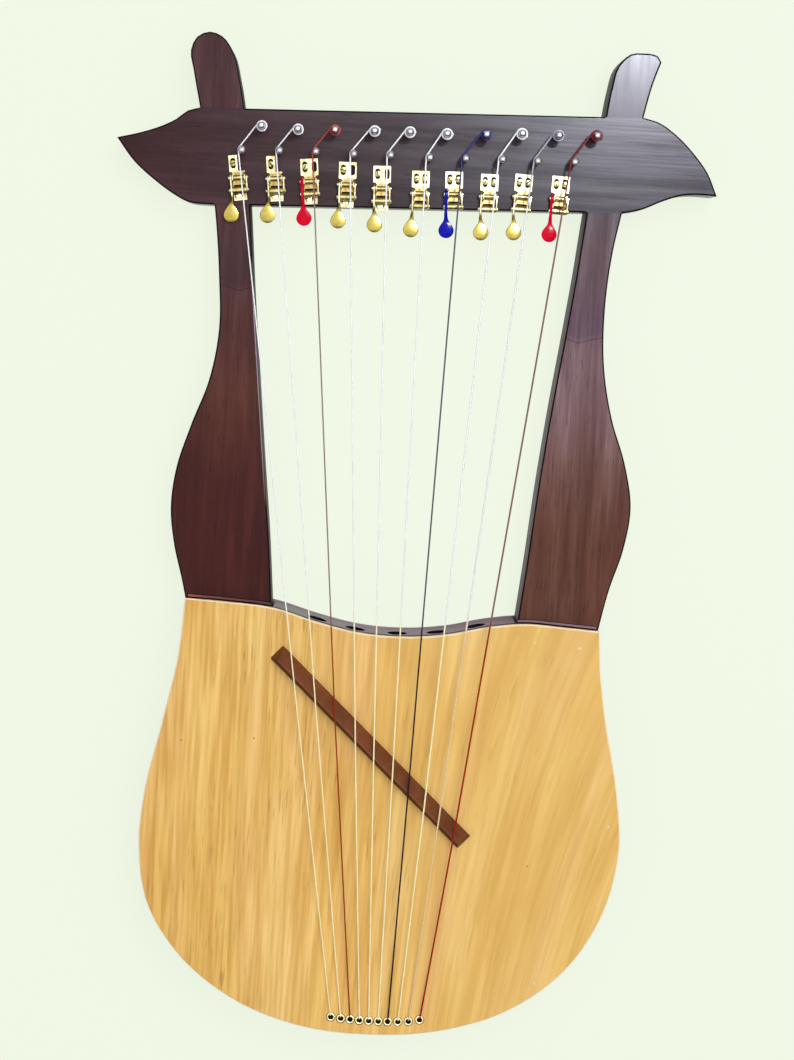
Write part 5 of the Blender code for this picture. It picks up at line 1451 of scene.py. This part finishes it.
def make_woodwork():
    arms = arm_outlines()
    make_arm("left_arm_plank", "left_arm", arms[0], MATERIALS["rosewood"])
    make_arm("right_arm_plank", "right_arm", arms[1], MATERIALS["rosewood_right"])
    make_crossbar(arms, MATERIALS["stained_wood"])
    make_soundboard(MATERIALS["ash"])
    make_back(MATERIALS["ash"])
    make_rim(MATERIALS["rosewood"])
    make_end_wall(MATERIALS["wall"])
    make_shoulder_trim()
    make_bridge(MATERIALS["bridge_wood"])


def make_stringing():
    make_guide_pins()
    for i in range(COUNT):
        make_eyelet(i, MATERIALS["eyelet_brass"])
        make_tuning_pin(i, MATERIALS["plated_steel"])
        make_string(i, MATERIALS["dark_red_string" if i == COUNT - 1 else SLOT_OF[f"string_{i + 1}"]])


# Camera, floor and light

def look_from(obj, location, right, up, back):
    obj.matrix_world = Matrix.Translation(Vector(location) * MM) @ Matrix((right, up, back)).transposed().to_4x4()


def set_camera():
    scene = bpy.context.scene
    data = bpy.data.cameras.new("camera")
    data.lens = LENS_MM
    data.sensor_width = 36.0
    data.sensor_fit = "AUTO"
    data.clip_start = 0.01
    camera = bpy.data.objects.new("camera", data)
    scene.collection.objects.link(camera)
    look_from(camera, CAMERA_AT, CAMERA_RIGHT, CAMERA_UP, CAMERA_BACK)
    scene.camera = camera
    scene.view_settings.view_transform = "Standard"


def seen_directly(tree, glossy=1.0):
    """1 for what the camera sees, straight or in metal and glass, and 0 for light that falls on things."""
    path = place(tree, "ShaderNodeLightPath").outputs
    shiny = maths(tree, "MULTIPLY", path["Is Glossy Ray"], glossy)
    seen = maths(tree, "MAXIMUM", path["Is Camera Ray"], shiny)
    return maths(tree, "MAXIMUM", seen, path["Is Transmission Ray"])


def make_floor():
    """Pale paper: mostly its own even colour where it is seen, with a light shadow left on it."""
    mat, tree, shader = new_material("paper_floor", Roughness=0.9)
    shader.inputs["Base Color"].default_value = (*PAPER, 1.0)
    shader.inputs["Specular IOR Level"].default_value = 0.0
    glow = place(tree, "ShaderNodeEmission", {"Color": (*PAPER, 1.0)})
    even = maths(tree, "MULTIPLY", seen_directly(tree, 0.5), 0.9)
    mix = place(tree, "ShaderNodeMixShader", {0: even, 1: shader.outputs[0], 2: glow.outputs[0]})
    tree.links.new(mix.outputs[0], tree.nodes["Material Output"].inputs["Surface"])
    bm = bmesh.new()
    bmesh.ops.create_grid(bm, x_segments=8, y_segments=8, size=6.0)
    mesh = bpy.data.meshes.new("floor")
    bm.to_mesh(mesh)
    bm.free()
    mesh.transform(Matrix.Translation((0.0, 0.0, -0.0005)))
    mesh.materials.append(mat)
    floor = bpy.data.objects.new("floor", mesh)
    bpy.context.scene.collection.objects.link(floor)


def soft_light(name, location, target, size, power, colour=(1.0, 1.0, 1.0), unseen=()):
    """A lamp that the camera doesn't see; unseen names other kinds of ray that miss it."""
    data = bpy.data.lights.new(name, "AREA")
    data.shape = "RECTANGLE"
    data.size, data.size_y = size
    data.energy = power
    data.color = colour
    lamp = bpy.data.objects.new(name, data)
    bpy.context.scene.collection.objects.link(lamp)
    away = (Vector(location) - Vector(target)) * MM
    lamp.matrix_world = Matrix.Translation(Vector(location) * MM) @ away.to_track_quat("Z", "Y").to_matrix().to_4x4()
    for kind in ("camera", *unseen):
        setattr(lamp, f"visible_{kind}", False)


def gloss_card(name, standing, size, colour, glow):
    """A card over or beside the table that only shows in gloss: dark ones give metal its edges, a pale one its glint."""
    mat, _, shader = new_material(f"{name}_face", Roughness=1.0)
    shader.inputs["Base Color"].default_value = (*colour, 1.0)
    shader.inputs["Specular IOR Level"].default_value = 0.0
    shader.inputs["Emission Color"].default_value = (*colour, 1.0)
    shader.inputs["Emission Strength"].default_value = glow
    bm = bmesh.new()
    bmesh.ops.create_grid(bm, x_segments=1, y_segments=1, size=0.5)
    mesh = bpy.data.meshes.new(name)
    bm.to_mesh(mesh)
    bm.free()
    mesh.transform(standing @ Matrix.Diagonal((*size, 1.0, 1.0)))
    mesh.materials.append(mat)
    card = bpy.data.objects.new(name, mesh)
    bpy.context.scene.collection.objects.link(card)
    for kind in ("camera", "diffuse", "transmission", "shadow", "volume_scatter"):
        setattr(card, f"visible_{kind}", False)


def set_light():
    world = bpy.data.worlds.new("room")
    bpy.context.scene.world = world
    world.use_nodes = True
    tree = world.node_tree
    room = tree.nodes["Background"]
    room.inputs["Color"].default_value = (0.94, 0.97, 1.0, 1.0)
    room.inputs["Strength"].default_value = 0.40
    paper = place(tree, "ShaderNodeBackground", {"Color": (*PAPER, 1.0), "Strength": 1.0})
    mix = place(tree, "ShaderNodeMixShader", {0: seen_directly(tree), 1: room.outputs[0], 2: paper.outputs[0]})
    tree.links.new(mix.outputs[0], tree.nodes["World Output"].inputs["Surface"])
    soft_light("window", (375, 660, 1900), (60, 60, 30), (0.13, 0.10), 66.0, (0.85, 0.87, 1.0), ("diffuse",))
    soft_light("ceiling", (400, 660, 1900), (60, 60, 30), (1.35, 1.35), 34.0, (0.85, 0.87, 1.0), ("glossy",))
    soft_light("fill", (-700, -1000, 1600), (0, 0, 30), (1.4, 1.4), 5.0, (1.0, 0.97, 0.93), ("glossy",))
    gloss_card("white_card", Matrix.Translation((0.03, 0.38, 2.2)) @ Matrix.Rotation(math.pi, 4, "X"), (2.6, 1.7),
               WHITE_CARD, 1.5)
    for k, high in enumerate(CARDS_HIGH):
        turn = Matrix.Rotation(math.pi / 2 * k, 4, "Z")
        upright = turn @ Matrix.Translation((0.0, -CARD_AWAY, high / 2)) @ Matrix.Rotation(math.pi / 2, 4, "X")
        gloss_card(f"dark_card_{k + 1}", upright, (CARD_LONG, high), DARK_FELT, 0.0)


set_camera()
make_floor()
set_light()
finish_frame_nodes()
make_woodwork()
make_stringing()
make_levers()
make_shade_sheets()
make_plugs()
make_lever_screws()
